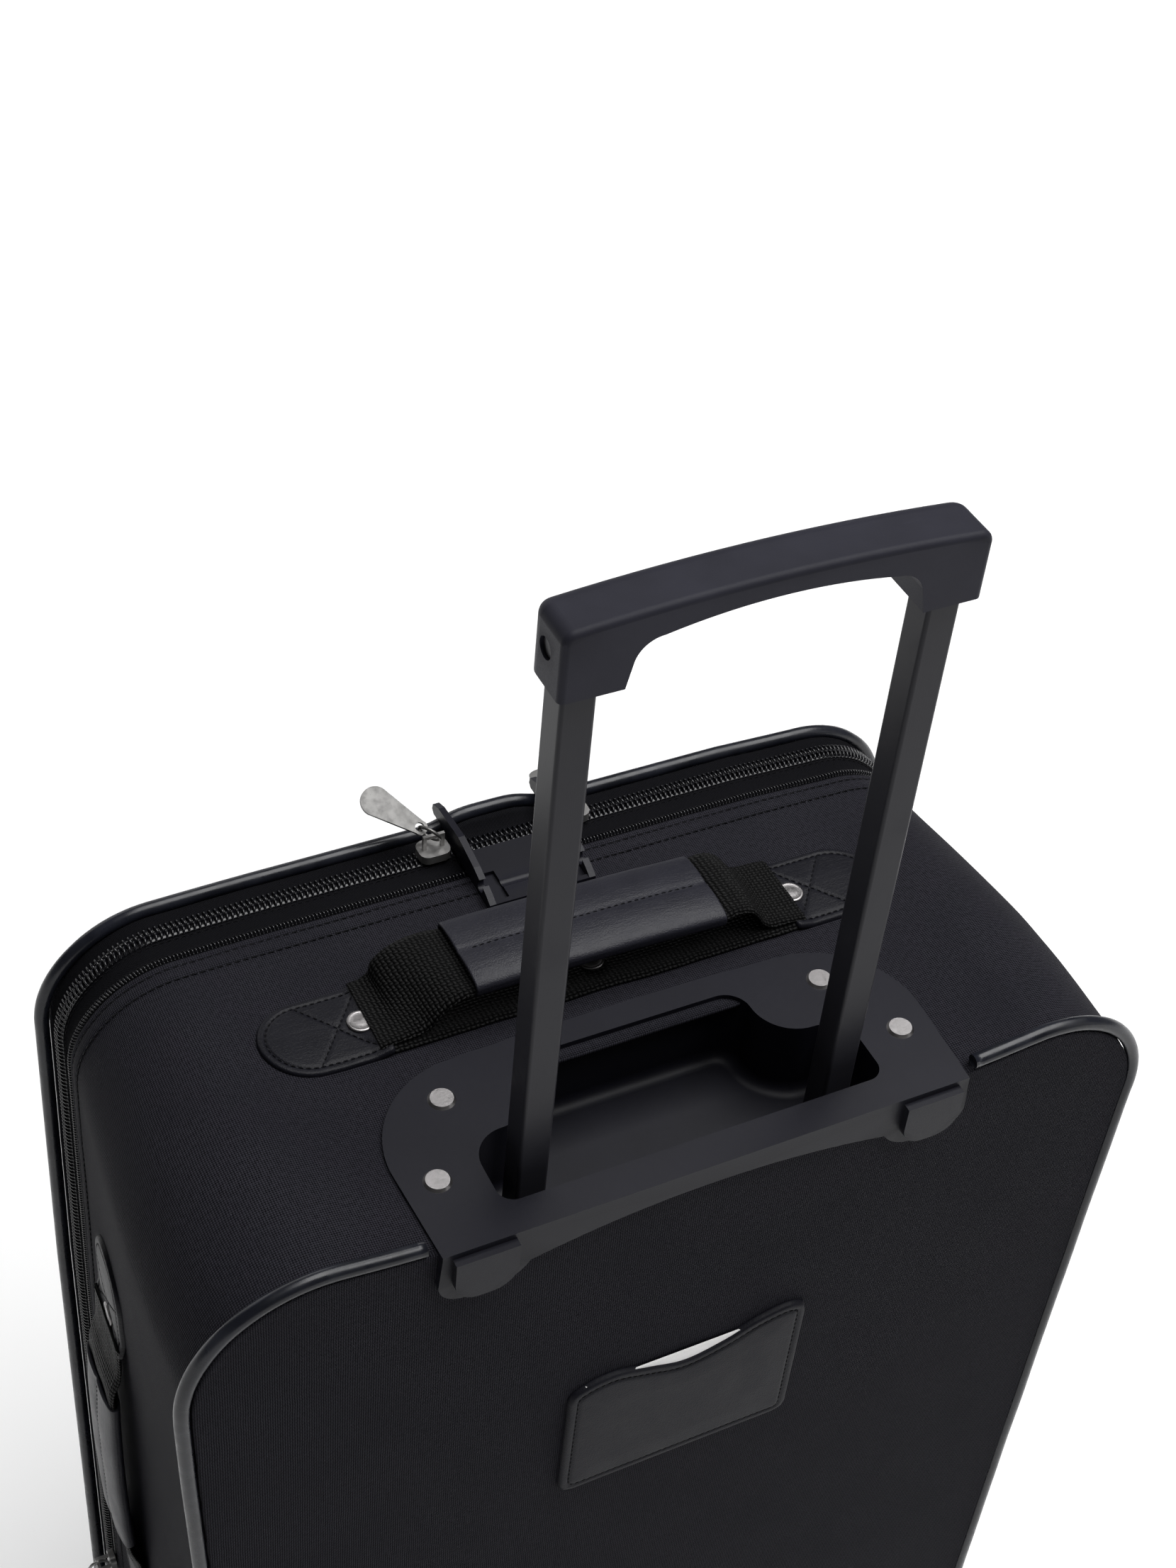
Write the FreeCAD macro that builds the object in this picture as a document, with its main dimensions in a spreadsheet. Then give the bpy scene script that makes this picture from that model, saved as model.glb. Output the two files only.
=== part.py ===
import FreeCAD, Part
import math
import os
import re

import Sketcher

# Softside upright suitcase with a telescopic trolley handle. Millimetres, +Z up. The floor is z = 0, the
# trolley side faces +Y, the pocket side faces -Y, and the origin is the centre of the footprint.

V = FreeCAD.Vector
doc = FreeCAD.newDocument("softside_suitcase")
sheet = doc.addObject("Spreadsheet::Sheet", "Sizes")

SIZE = {
    # case body
    "case_width": 344, "case_height": 480, "corner_radius": 40, "base_z": 38, "top_z": 518,
    "rear_y": 104, "wall": 2.5, "gusset_depth": 147.5,
    # seams and zip
    "piping_r": 2.8, "tape_wall": 1.2, "tape_inset": 1.0, "hem_y": -46, "coil_wall": 3.0, "coil_proud": 0.5,
    "coil_y": -61, "coil_half": 3.0, "coil_gap": 0.15, "zip_end_z": 98,
    "expander_y": -48, "expander_wall": 2.0,
    # lid
    "hinge_y": -70, "lid_y": -70.3, "lid_thick": 5, "lid_height": 477, "piping_front_y": -73.4,
    "pocket_width": 296, "pocket_radius": 26, "lower_pocket_z": 62, "lower_pocket_height": 240,
    "lower_pocket_thick": 26, "upper_pocket_z": 326, "upper_pocket_height": 140, "upper_pocket_thick": 18,
    "pocket_zip_half": 112, "pocket_zip_wide": 5.4, "pocket_zip_thick": 2.4, "pocket_zip_drop": 26,
    "pocket_slider_x": 96,
    # trolley handle
    "tube_x": 57.4, "tube_y": 82.4, "tube_side": 10.9, "tube_low_z": 288, "tube_high_z": 737.5,
    "guide_side": 15, "guide_bore": 13, "guide_low_z": 48.5, "guide_high_z": 480, "tube_wall": 1.0,
    "grip_half": 66, "grip_depth": 20, "grip_low_z": 723.5, "socket_deep": 14, "bush_gap": 0.1,
    "plug_side": 12.8, "plug_height": 8, "screw_z": 735.5,
    # bezel and cup
    "bezel_half": 97, "bezel_thick": 2, "bezel_front_y": 31.2, "skirt_thick": 2.6, "cup_deep": 32,
    "cup_wall": 2, "cup_rear_y": 94.5, "cup_lobe_half": 71, "cup_lobe_y": 78, "cup_lobe_r": 12,
    "cup_bend_r": 16, "cup_neck_r": 9, "boss_deep": 38, "boss_side": 17,
    # rivets and carry handle
    "rivet_r": 4.8, "rivet_crown_r": 4.0, "rivet_tall": 1.0, "shank_r": 2.0,
    "carry_y": 6, "loop_y": 4, "patch_in": 77.5, "patch_out": 120, "patch_wide": 34, "patch_thick": 1.4,
    "carry_rivet_x": 83.7,
    "strap_wide": 33, "strap_thick": 2.2, "sleeve_half": 48, "sleeve_wide": 35, "sleeve_thick": 5.6,
    "loop_high": 13, "side_y": -6, "side_z": 304, "side_loop_high": 9,
    # identity label
    "label_x": -3, "label_low_z": 350, "label_thick": 2.2,
    "card_width": 82, "card_height": 57, "card_thick": 0.6,
    # padlock dock over the zip
    "dock_half": 21, "dock_wall": 2.5, "dock_thick": 3, "dock_rear_y": -27, "dock_front_y": -55.5,
    # zip sliders and pulls
    "slider_left_x": 28.5, "slider_right_x": 27.8,
    "slider_long": 12, "slider_wide": 9.6, "slider_plate": 3.4, "slider_clear": 0.3,
    "bail_high": 5.7, "bail_wire": 1.3, "bail_half": 4.2,
    "pull_long": 30, "pull_wide": 11, "pull_thick": 1.6,
    "small_slider_long": 9, "small_slider_wide": 7.6, "small_slider_plate": 2.4, "small_pull_long": 24,
    "small_pull_wide": 8, "ring_r": 4.2, "ring_wire": 0.65, "ring_shift": 1.8, "expander_slider_z": 150,
    # wheels, feet and base
    "wheel_x": 122, "wheel_y": 84, "wheel_r": 25, "tyre_wide": 24, "hub_r": 14, "hub_wide": 22,
    "axle_r": 3.0, "axle_clear": 0.05, "housing_wide": 46, "well_r": 28, "well_wide": 28,
    "housing_front_y": 52, "housing_rear_y": 106, "housing_top_z": 62,
    "foot_x": 112, "foot_y": -24, "foot_wide": 56, "foot_deep": 30, "board_thick": 3,
    "liner_thick": 1.0, "liner_inset": 3.2, "liner_back_y": 72, "liner_front_y": -44,
}

for row, (alias, number) in enumerate(SIZE.items(), 1):
    sheet.set(f"A{row}", alias)
    sheet.set(f"B{row}", str(number))
    sheet.setAlias(f"B{row}", alias)
doc.recompute()

nodes = {}


def num(term):
    """The number behind one sheet name, or the number itself."""
    return float(SIZE.get(term, term)) if isinstance(term, str) else float(term)


def bind(thing, prop, formula):
    """Ties a property to a formula of sheet names."""
    def aliased(match):
        word = match.group(0)
        return "Sizes." + word if word in SIZE else word

    named = re.sub(r"[a-z]\w+", aliased, str(formula))
    thing.setExpression(prop, named)


def place(thing, at):
    for axis, formula in zip("xyz", at):
        bind(thing, f".Placement.Base.{axis}", formula)
    return thing


def keep(node, thing):
    """Names the finished object of one sub-part."""
    thing.Label = node
    nodes[node] = thing
    return thing


def box(name, low, size):
    thing = doc.addObject("Part::Box", name)
    for prop, formula in zip(("Length", "Width", "Height"), size):
        bind(thing, prop, formula)
    return place(thing, low)


TURN = {"x": (V(0, 1, 0), 90), "z": (V(0, 0, 1), 0)}


def cylinder(name, base, radius, height, axis="z"):
    thing = doc.addObject("Part::Cylinder", name)
    bind(thing, "Radius", radius)
    bind(thing, "Height", height)
    thing.Placement.Rotation = FreeCAD.Rotation(*TURN[axis])
    return place(thing, base)


def cone(name, base, low_r, high_r, height, axis="z"):
    thing = doc.addObject("Part::Cone", name)
    bind(thing, "Radius1", low_r)
    bind(thing, "Radius2", high_r)
    bind(thing, "Height", height)
    thing.Placement.Rotation = FreeCAD.Rotation(*TURN[axis])
    return place(thing, base)


def fuse(name, *things):
    joined = doc.addObject("Part::MultiFuse", name)
    joined.Shapes = list(things)
    joined.Refine = True
    return joined


def cut(name, base, *tools):
    less = doc.addObject("Part::Cut", name)
    less.Base = base
    less.Tool = tools[0] if len(tools) == 1 else fuse(name + "_tools", *tools)
    less.Refine = True
    return less


def group(name, *things):
    together = doc.addObject("Part::Compound", name)
    together.Links = list(things)
    return together


def mirror(name, source):
    twin = doc.addObject("Part::Mirroring", name)
    twin.Source = source
    twin.Normal = V(1, 0, 0)
    return twin


def fillet(name, base, radius, chosen):
    """Rounds the edges of base that chosen(edge) picks."""
    doc.recompute()
    rounded = doc.addObject("Part::Fillet", name)
    rounded.Base = base
    rounded.Edges = [(i, radius, radius) for i, edge in enumerate(base.Shape.Edges, 1) if chosen(edge)]
    return rounded


# ---------------------------------------------------------------- sketches


def rounded_rect(sketch, width, height, radius, bottom, grow=0):
    """A loop of four lines and four arcs, centred on the sketch's X = 0 and tied to the sheet."""
    half = num(width) / 2 + num(grow)
    tall = num(height) + 2 * num(grow)
    rad = num(radius) + num(grow)
    low = num(bottom) - num(grow)
    x, z0, z1 = half - rad, low + rad, low + tall - rad
    first = sketch.GeometryCount
    lines = [((-x, low), (x, low)), ((half, z0), (half, z1)),
             ((x, low + tall), (-x, low + tall)), ((-half, z1), (-half, z0))]
    centres = [(x, z0), (x, z1), (-x, z1), (-x, z0)]
    for turn, (line, centre) in enumerate(zip(lines, centres)):
        sketch.addGeometry(Part.LineSegment(V(*line[0], 0), V(*line[1], 0)), False)
        start = math.radians(90 * turn - 90)
        arc = Part.ArcOfCircle(Part.Circle(V(*centre, 0), V(0, 0, 1), rad), start, start + math.pi / 2)
        sketch.addGeometry(arc, False)
    for side in range(4):
        line, arc, after = first + 2 * side, first + 2 * side + 1, first + (2 * side + 2) % 8
        sketch.addConstraint(Sketcher.Constraint("Tangent", line, 2, arc, 1))
        sketch.addConstraint(Sketcher.Constraint("Tangent", arc, 2, after, 1))
        sketch.addConstraint(Sketcher.Constraint("Vertical" if side % 2 else "Horizontal", line))
        if side:
            sketch.addConstraint(Sketcher.Constraint("Equal", first + 1, arc))
    bottom_line, right, left = first, first + 2, first + 6
    sized = [
        (Sketcher.Constraint("Radius", first + 1, rad), f"{radius} + {grow}"),
        (Sketcher.Constraint("DistanceX", left, 1, right, 1, 2 * half), f"{width} + 2 * {grow}"),
        (Sketcher.Constraint("DistanceX", left, 1, -1, 1, half), f"{width} / 2 + {grow}"),
        (Sketcher.Constraint("DistanceY", -1, 1, bottom_line, 1, low), f"{bottom} - {grow}"),
        (Sketcher.Constraint("DistanceY", bottom_line, 1, first + 4, 1, tall), f"{height} + 2 * {grow}"),
    ]
    for constraint, formula in sized:
        bind(sketch, f"Constraints[{sketch.addConstraint(constraint)}]", formula)


def outline(sketch, start, steps):
    """A closed loop from start: a step of one point is a line, a step of two is an arc through the first."""
    here = V(*start, 0)
    for step in steps:
        there = V(*step[-1], 0)
        if len(step) == 1:
            sketch.addGeometry(Part.LineSegment(here, there), False)
        else:
            sketch.addGeometry(Part.Arc(here, V(*step[0], 0), there), False)
        here = there


def pad(name, plane, draw, length, at=("0", "0", "0")):
    """A PartDesign body: one sketch on an origin plane, padded."""
    body = doc.addObject("PartDesign::Body", name)
    sketch = body.newObject("Sketcher::SketchObject", name + "_sketch")
    support = next(f for f in body.Origin.OriginFeatures if f.Role == plane)
    sketch.AttachmentSupport = [(support, "")]
    sketch.MapMode = "FlatFace"
    draw(sketch)
    feature = body.newObject("PartDesign::Pad", name + "_pad")
    feature.Profile = sketch
    bind(feature, "Length", length)
    return place(body, at)


def panel(name, rect, length, rear, ring=None):
    """A rounded rectangle in XZ, padded from y = rear towards -Y; ring is the wall of a hollow one."""
    def draw(sketch):
        rounded_rect(sketch, *rect)
        if ring:
            rounded_rect(sketch, *rect[:4], rect[4] - num(ring))
    return pad(name, "XZ_Plane", draw, length, ("0", rear, "0"))


CASE = ("case_width", "case_height", "corner_radius", "base_z")
LID = ("case_width", "lid_height", "corner_radius", "base_z")


def piping_ring(name, y, height, gap_half=None):
    """A round cord just outside the case outline: straight runs joined by quarter rings."""
    grow = "piping_r"
    x_run = "case_width / 2 - corner_radius"
    low, high = f"base_z - {grow}", f"base_z + {height} + {grow}"
    edge = f"case_width / 2 + {grow}"
    spans = [("low", f"-({x_run})", low, f"2 * ({x_run})")]
    if gap_half:
        side_run = f"{x_run} - ({gap_half})"
        spans += [("high_a", f"-({x_run})", high, side_run), ("high_b", gap_half, high, side_run)]
    else:
        spans += [("high", f"-({x_run})", high, f"2 * ({x_run})")]
    pieces = [cylinder(f"{name}_{tag}", (x, y, z), "piping_r", run, "x") for tag, x, z, run in spans]
    for tag, x in (("left", edge), ("right", f"-({edge})")):
        start = (x, y, "base_z + corner_radius")
        pieces.append(cylinder(f"{name}_{tag}", start, "piping_r", f"{height} - 2 * corner_radius"))
    for quarter in range(4):
        ring = doc.addObject("Part::Torus", f"{name}_corner{quarter}")
        bind(ring, "Radius1", f"corner_radius + {grow}")
        bind(ring, "Radius2", "piping_r")
        ring.Angle3 = 90
        upright = FreeCAD.Rotation(V(1, 0, 0), 90)
        ring.Placement.Rotation = upright * FreeCAD.Rotation(V(0, 0, 1), 90 * quarter)
        sign = "" if quarter in (0, 3) else "-"
        z = f"base_z + {height} - corner_radius" if quarter < 2 else "base_z + corner_radius"
        pieces.append(place(ring, (f"{sign}({x_run})", y, z)))
    return fuse(name, *pieces)


# ---------------------------------------------------------------- shared outlines of the bezel and its cup


def bezel_outline(sketch):
    """Plan of the bezel plate: straight rear edge, big rounded front corners."""
    half, rear, front = num("bezel_half"), num("rear_y") + num("skirt_thick"), num("bezel_front_y")
    side_y, corner = front + 38, 35
    turn = corner * (1 - math.sqrt(0.5))
    outline(sketch, (-half, rear), [
        ((half, rear),),
        ((half + 2, side_y),),
        ((half + 2 - turn, front + 2.5 + turn), (half + 2 - corner, front + 1.5)),
        ((0, front), (-(half + 2 - corner), front + 1.5)),
        ((-(half + 2 - turn), front + 2.5 + turn), (-(half + 2), side_y)),
        ((-half, rear),),
    ])


def cup_outline(sketch, grow=0):
    """Plan of the cup: a wide rear part for the grip, swept into a narrower neck for the fingers."""
    rear, lobe = num("cup_rear_y") + grow, num("cup_lobe_half") + grow
    lobe_r, bend_r, neck_r = num("cup_lobe_r") + grow, num("cup_bend_r") - grow, num("cup_neck_r") + grow
    soft = 6
    lobe_x, lobe_y = lobe - lobe_r, num("cup_lobe_y")
    bend_y = lobe_y - lobe_r - bend_r
    neck_x = lobe_x - bend_r - neck_r
    half_way = math.sqrt(0.5)

    def on_arc(x, y, radius, toward_x, toward_y):
        return x + toward_x * radius * half_way, y + toward_y * radius * half_way
    arcs = [
        (on_arc(lobe - soft, rear - soft, soft, 1, 1), (lobe, rear - soft)),
        ((lobe, lobe_y),),
        (on_arc(lobe_x, lobe_y, lobe_r, 1, -1), (lobe_x, lobe_y - lobe_r)),
        (on_arc(lobe_x, bend_y, bend_r, -1, 1), (lobe_x - bend_r, bend_y)),
        (on_arc(neck_x, bend_y, neck_r, 1, -1), (neck_x, bend_y - neck_r)),
    ]
    start = (-(lobe - soft), rear)
    corners = [(lobe - soft, rear)] + [arc[-1] for arc in arcs]
    steps = [(corners[0],)] + arcs + [((-corners[-1][0], corners[-1][1]),)]
    for arc, target in zip(reversed(arcs), reversed(corners[:-1])):
        steps.append(tuple((-x, y) for x, y in arc[:-1]) + ((-target[0], target[1]),))
    outline(sketch, start, steps)


def cup_block(name, grow, top, deep, round_r):
    corner = ("0", "0", f"{top} - ({deep})")
    block = pad(name, "XY_Plane", lambda sketch: cup_outline(sketch, grow), deep, corner)
    doc.recompute()
    low = block.Shape.BoundBox.ZMin
    return fillet(name + "_soft", block, round_r, lambda e: e.BoundBox.ZMax < low + 0.01)


# ---------------------------------------------------------------- rivets


def rivet(name, at, into, axis="z"):
    """A flat-crowned head standing on a surface, with its shank through the layers."""
    x, y, z = at
    if axis == "z":
        head = cone(name + "_head", (x, y, z), "rivet_r", "rivet_crown_r", "rivet_tall")
        shank = cylinder(name + "_shank", (x, y, f"{z} - ({into})"), "shank_r", into)
    else:
        head = cone(name + "_head", (x, y, z), "rivet_r", "rivet_crown_r", "rivet_tall", "x")
        shank = cylinder(name + "_shank", (f"{x} - ({into})", y, z), "shank_r", into, "x")
    return fuse(name, head, shank)


def shank_hole(name, at, into, axis="z"):
    x, y, z = at
    base = (x, y, f"{z} - ({into})") if axis == "z" else (f"{x} - ({into})", y, z)
    return cylinder(name, base, "shank_r", into, axis)


BEZEL_RIVETS = [("72", "rear_y - 56.3"), ("-72", "rear_y - 56.3"),
                ("86.6", "rear_y - 25.8"), ("-86.6", "rear_y - 25.8")]


# ---------------------------------------------------------------- case body


def make_housing_blocks():
    """Clearance blocks where the wheel housings are let into the case's lower rear corners."""
    gap = 0.3
    size = (f"housing_wide + {2 * gap}", "60", "housing_top_z - 20")
    y = f"housing_front_y - {gap}"
    return [box(f"corner_room_{tag}", (f"{x} - housing_wide / 2 - {gap}", y, f"20 + {gap}"), size)
            for tag, x in (("left", "wheel_x"), ("right", "-wheel_x"))]


def make_back_panel():
    blank = panel("back_blank", (*CASE, 0), "wall", "rear_y")
    rooms = make_housing_blocks()
    keep("back_panel", cut("back_panel", blank, *rooms))


def make_gusset():
    band = panel("gusset_blank", (*CASE, 0), "gusset_depth", "rear_y - wall", ring="wall")
    cup_room = pad("gusset_cup_room", "XY_Plane", lambda s: cup_outline(s, num("cup_wall") + 0.3),
                   "20", ("0", "0", "top_z - 12"))
    holes = [shank_hole(f"gusset_hole{i}", (x, y, "top_z"), "4") for i, (x, y) in enumerate(BEZEL_RIVETS)]
    holes += [shank_hole(f"gusset_carry_hole{i}", (x, "carry_y", "top_z"), "4")
              for i, x in enumerate(("carry_rivet_x", "-carry_rivet_x", "0"))]
    holes += [shank_hole(f"gusset_side_hole{i}", ("case_width / 2", "side_y", z), "4", "x")
              for i, z in enumerate(("side_z + carry_rivet_x", "side_z - carry_rivet_x"))]
    rooms = make_housing_blocks()
    keep("gusset", cut("gusset", band, cup_room, *holes, *rooms))


def make_rear_piping():
    ring = piping_ring("rear_cord", "rear_y - 2", "case_height", "bezel_half + 2.5")
    rooms = make_housing_blocks()
    keep("rear_piping", cut("rear_piping", ring, *rooms))


def u_band(name, node, grow, wall, length, rear):
    """A band round the top and sides of the case, open along the bottom."""
    ring = panel(name, (*CASE, grow), length, rear, ring=wall)
    below = box(name + "_below", ("-case_width", "-200", "0"), ("2 * case_width", "400", "zip_end_z"))
    keep(node, cut(node, ring, below))


def make_zip():
    inset = -num("tape_inset")
    proud = num("coil_proud")
    u_band("body_tape", "zip_tape_body", inset, "tape_wall", "hem_y - coil_y - coil_half", "hem_y")
    u_band("body_coil", "zip_coil_body", proud, "coil_wall", "coil_half - coil_gap", "coil_y + coil_half")
    u_band("lid_tape", "zip_tape_lid", inset, "tape_wall", "coil_y - coil_half - lid_y", "coil_y - coil_half")
    u_band("lid_coil", "zip_coil_lid", proud, "coil_wall", "coil_half - coil_gap", "coil_y - coil_gap")
    u_band("expander", "expander_coil", num("expander_wall") / 2, "expander_wall", "expander_wall",
           "expander_y + expander_wall / 2")


def make_hinge_strip():
    rect = (*CASE, -num("tape_inset"))
    strip = panel("hinge_ring", rect, "hem_y - hinge_y - 0.3", "hem_y", ring="tape_wall")
    above = box("hinge_above", ("-case_width", "-200", "zip_end_z - 0.3"),
                ("2 * case_width", "400", "case_height"))
    keep("hinge_strip", cut("hinge_strip", strip, above))


def make_liner():
    """A thin tray of lining cloth: four walls and a back that hides the guide tubes."""
    inset = -num("liner_inset")
    outer = panel("liner_outer", (*CASE, inset), "liner_back_y - liner_front_y", "liner_back_y")
    inner = panel("liner_inner", (*CASE, inset - num("liner_thick")), "liner_back_y - liner_front_y",
                  "liner_back_y - liner_thick")
    cup = pad("liner_cup_room", "XY_Plane", lambda s: cup_outline(s, num("cup_wall") + 1),
              "cup_deep + 12", ("0", "0", "top_z - cup_deep - 1"))
    board = box("liner_board_room", ("-150", "-60", "base_z"), ("300", "200", "wall + board_thick + 0.3"))
    rooms = make_housing_blocks()
    keep("liner", cut("liner", outer, inner, cup, board, *rooms))


def make_base_board():
    board = box("board_blank", ("-128", "liner_front_y", "base_z + wall"),
                ("256", "rear_y - wall - liner_front_y", "board_thick"))
    rooms = make_housing_blocks()
    keep("base_board", cut("base_board", board, *rooms))


# ---------------------------------------------------------------- bezel, cup and guide tubes


def tube_posts(name, side, low, high):
    """A pair of square posts on the two tube lines."""
    return [box(f"{name}_{tag}", (f"{x} - ({side}) / 2", f"tube_y - ({side}) / 2", low),
                (side, side, f"{high} - ({low})"))
            for tag, x in (("left", "tube_x"), ("right", "-tube_x"))]


def make_bezel():
    plate = pad("bezel_plate", "XY_Plane", bezel_outline, "bezel_thick", ("0", "0", "top_z"))

    def skirt_outline(sketch):
        half, top = num("bezel_half"), num("top_z") + 0.5
        lobe_in, lobe_low, arch_low, arch_mid = 69, top - 22.5, top - 15, top - 7.5
        outline(sketch, (-half, top), [
            ((half, top),),
            ((half + 1, lobe_low + 9),),
            ((half - 2, lobe_low + 2.5), (half - 9, lobe_low)),
            ((lobe_in + 8, lobe_low),),
            ((lobe_in + 2.5, lobe_low + 2), (lobe_in - 3, arch_low),),
            ((0, arch_mid), (-(lobe_in - 3), arch_low)),
            ((-(lobe_in + 2.5), lobe_low + 2), (-(lobe_in + 8), lobe_low)),
            ((-(half - 9), lobe_low),),
            ((-(half - 2), lobe_low + 2.5), (-(half + 1), lobe_low + 9)),
            ((-half, top),),
        ])

    def pad_outline(sketch):
        left, right, top = 71.5, 93.5, num("top_z") - 0.5
        low, soft = top - 19, 9
        outline(sketch, (left, top), [
            ((right, top),),
            ((right, low + soft),),
            ((right - 0.29 * soft, low + 0.29 * soft), (right - soft, low)),
            ((left + soft, low),),
            ((left + 0.29 * soft, low + 0.29 * soft), (left, low + soft)),
            ((left, top),),
        ])

    skirt = pad("bezel_skirt", "XZ_Plane", skirt_outline, "skirt_thick", ("0", "rear_y + skirt_thick", "0"))
    bumper = pad("bezel_bumper", "XZ_Plane", pad_outline, "3", ("0", "rear_y + skirt_thick + 3", "0"))
    twin = mirror("bezel_bumper_right", bumper)
    shell = cup_block("cup_shell", num("cup_wall"), "top_z + 1", "cup_deep + 1", 5)
    bosses = tube_posts("cup_boss", "boss_side", "top_z - boss_deep", "top_z - cup_deep + 2")
    solid = fuse("bezel_solid", plate, skirt, bumper, twin, shell, *bosses)
    hollow = cup_block("cup_hollow", 0, "top_z + 4", "cup_deep + 2", 4.5)
    passages = tube_posts("cup_passage", "tube_side + 2 * bush_gap", "top_z - boss_deep - 1", "top_z")
    places = [(x, y, "top_z + bezel_thick") for x, y in BEZEL_RIVETS]
    holes = [shank_hole(f"bezel_hole{i}", place, "bezel_thick") for i, place in enumerate(places)]
    keep("handle_bezel", cut("handle_bezel", solid, hollow, *passages, *holes))
    rivets = [rivet(f"bezel_rivet{i}", place, "5") for i, place in enumerate(places)]
    keep("bezel_rivets", group("bezel_rivets", *rivets))


def make_guide_tubes():
    outers = tube_posts("guide_outer", "guide_side", "guide_low_z", "guide_high_z")
    bores = tube_posts("guide_bore", "guide_bore", "guide_low_z - 1", "guide_high_z + 1")
    for tag, outer, bore in zip(("left", "right"), outers, bores):
        keep(f"outer_tube_{tag}", cut(f"outer_tube_{tag}", outer, bore))
    bar = box("bracket_bar", ("-tube_x - 14", "tube_y - 10", "base_z + wall + board_thick"),
              ("2 * tube_x + 28", "20", "15"))
    sockets = tube_posts("bracket_socket", "guide_side", "guide_low_z", "base_z + 40")
    keep("tube_bracket", cut("tube_bracket", bar, *sockets))


# ---------------------------------------------------------------- trolley handle


def make_trolley():
    outers = tube_posts("inner_outer", "tube_side", "tube_low_z", "tube_high_z")
    bores = tube_posts("inner_bore", "tube_side - 2 * tube_wall", "tube_low_z - 1", "tube_high_z + 1")
    for tag, outer, bore in zip(("left", "right"), outers, bores):
        edges = fillet(f"tube_soft_{tag}", outer, 1.2, lambda e: e.BoundBox.ZLength > 100)
        keep(f"inner_tube_{tag}", cut(f"inner_tube_{tag}", edges, bore))
    ends = tube_posts("plug_end", "plug_side", "tube_low_z - plug_height", "tube_low_z")
    spigots = tube_posts("plug_spigot", "tube_side - 2 * tube_wall - 0.2", "tube_low_z", "tube_low_z + 12")
    plugs = [fuse(f"plug_{tag}", *pair) for tag, pair in zip(("left", "right"), zip(ends, spigots))]
    keep("tube_plugs", group("tube_plugs", *plugs))

    def grip_outline(sketch):
        half, low = num("grip_half"), num("grip_low_z")
        leg, shoulder, arch_z, arch_mid = 46.5, 36, low + 15.5, low + 19
        top_end, top_mid = low + 22.8, low + 26
        outline(sketch, (half, top_end), [
            ((half, low),),
            ((leg, low),),
            ((leg - 2, low + 9),),
            ((leg - 5, arch_z - 2), (shoulder, arch_z)),
            ((0, arch_mid), (-shoulder, arch_z)),
            ((-(leg - 5), arch_z - 2), (-(leg - 2), low + 9)),
            ((-leg, low),),
            ((-half, low),),
            ((-half, top_end),),
            ((0, top_mid), (half, top_end)),
        ])

    def on_rim(edge):
        return edge.BoundBox.YLength < 0.1 and edge.BoundBox.ZMax > high

    bar = pad("grip_blank", "XZ_Plane", grip_outline, "grip_depth", ("0", "tube_y + grip_depth / 2", "0"))
    high, middle = num("grip_low_z") + 19, num("tube_y")
    ends = fillet("grip_ends", bar, 4.0, lambda e: e.BoundBox.ZMin > high and e.BoundBox.YLength > 10)
    rear = fillet("grip_rear_edge", ends, 2.0, lambda e: on_rim(e) and e.BoundBox.YMin > middle)
    soft = fillet("grip_front_edge", rear, 6.0, lambda e: on_rim(e) and e.BoundBox.YMin < middle)
    sockets = tube_posts("grip_socket", "tube_side", "grip_low_z - 1", "grip_low_z + socket_deep")
    recess = [cylinder(f"screw_recess_{tag}", (x, "tube_y", "screw_z"), "3.4", "5", "x")
              for tag, x in (("left", "grip_half - 2.2"), ("right", "-grip_half - 2.8"))]
    bores = [cylinder(f"screw_bore_{tag}", (x, "tube_y", "screw_z"), "1.5", "4", "x")
             for tag, x in (("left", "tube_x + tube_side / 2"), ("right", "-tube_x - tube_side / 2 - 4"))]
    keep("grip", cut("grip", soft, *sockets, *recess, *bores))
    screws = []
    shaft_long = "grip_half - 2.2 - tube_x - tube_side / 2"
    for tag, head_x, start in (("left", "grip_half - 2.2", "tube_x + tube_side / 2"),
                               ("right", "-grip_half + 1.0", "-grip_half + 2.2")):
        head = cylinder(f"grip_screw_head_{tag}", (head_x, "tube_y", "screw_z"), "3.0", "1.2", "x")
        shaft = cylinder(f"grip_screw_shaft_{tag}", (start, "tube_y", "screw_z"), "1.5", shaft_long, "x")
        screws.append(fuse(f"grip_screw_{tag}", head, shaft))
    keep("grip_screws", group("grip_screws", *screws))


# ---------------------------------------------------------------- carry handles


def loop_outline(sketch, foot, high, thick):
    """Side view of a webbing loop standing on its two ends: flat top, curved shoulders."""
    top = foot + high
    shoulder, ankle, end = 52, 66, 77
    outline(sketch, (-end, foot), [
        ((-end, foot + thick),),
        ((-ankle - 1, foot + thick + 0.42 * high), (-shoulder, top)),
        ((shoulder, top),),
        ((ankle + 1, foot + thick + 0.42 * high), (end, foot + thick)),
        ((end, foot),),
        ((ankle - 2, foot + 0.42 * high), (shoulder, top - thick)),
        ((-shoulder, top - thick),),
        ((-(ankle - 2), foot + 0.42 * high), (-end, foot)),
    ])


def patch_outline(sketch, centre_y, sign):
    """Plan of an end patch: square inner end, round outer end."""
    inner, outer, half = num("patch_in"), num("patch_out"), num("patch_wide") / 2
    outline(sketch, (sign * inner, centre_y - half), [
        ((sign * (outer - half), centre_y - half),),
        ((sign * outer, centre_y), (sign * (outer - half), centre_y + half)),
        ((sign * inner, centre_y + half),),
        ((sign * inner, centre_y - half),),
    ])


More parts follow.
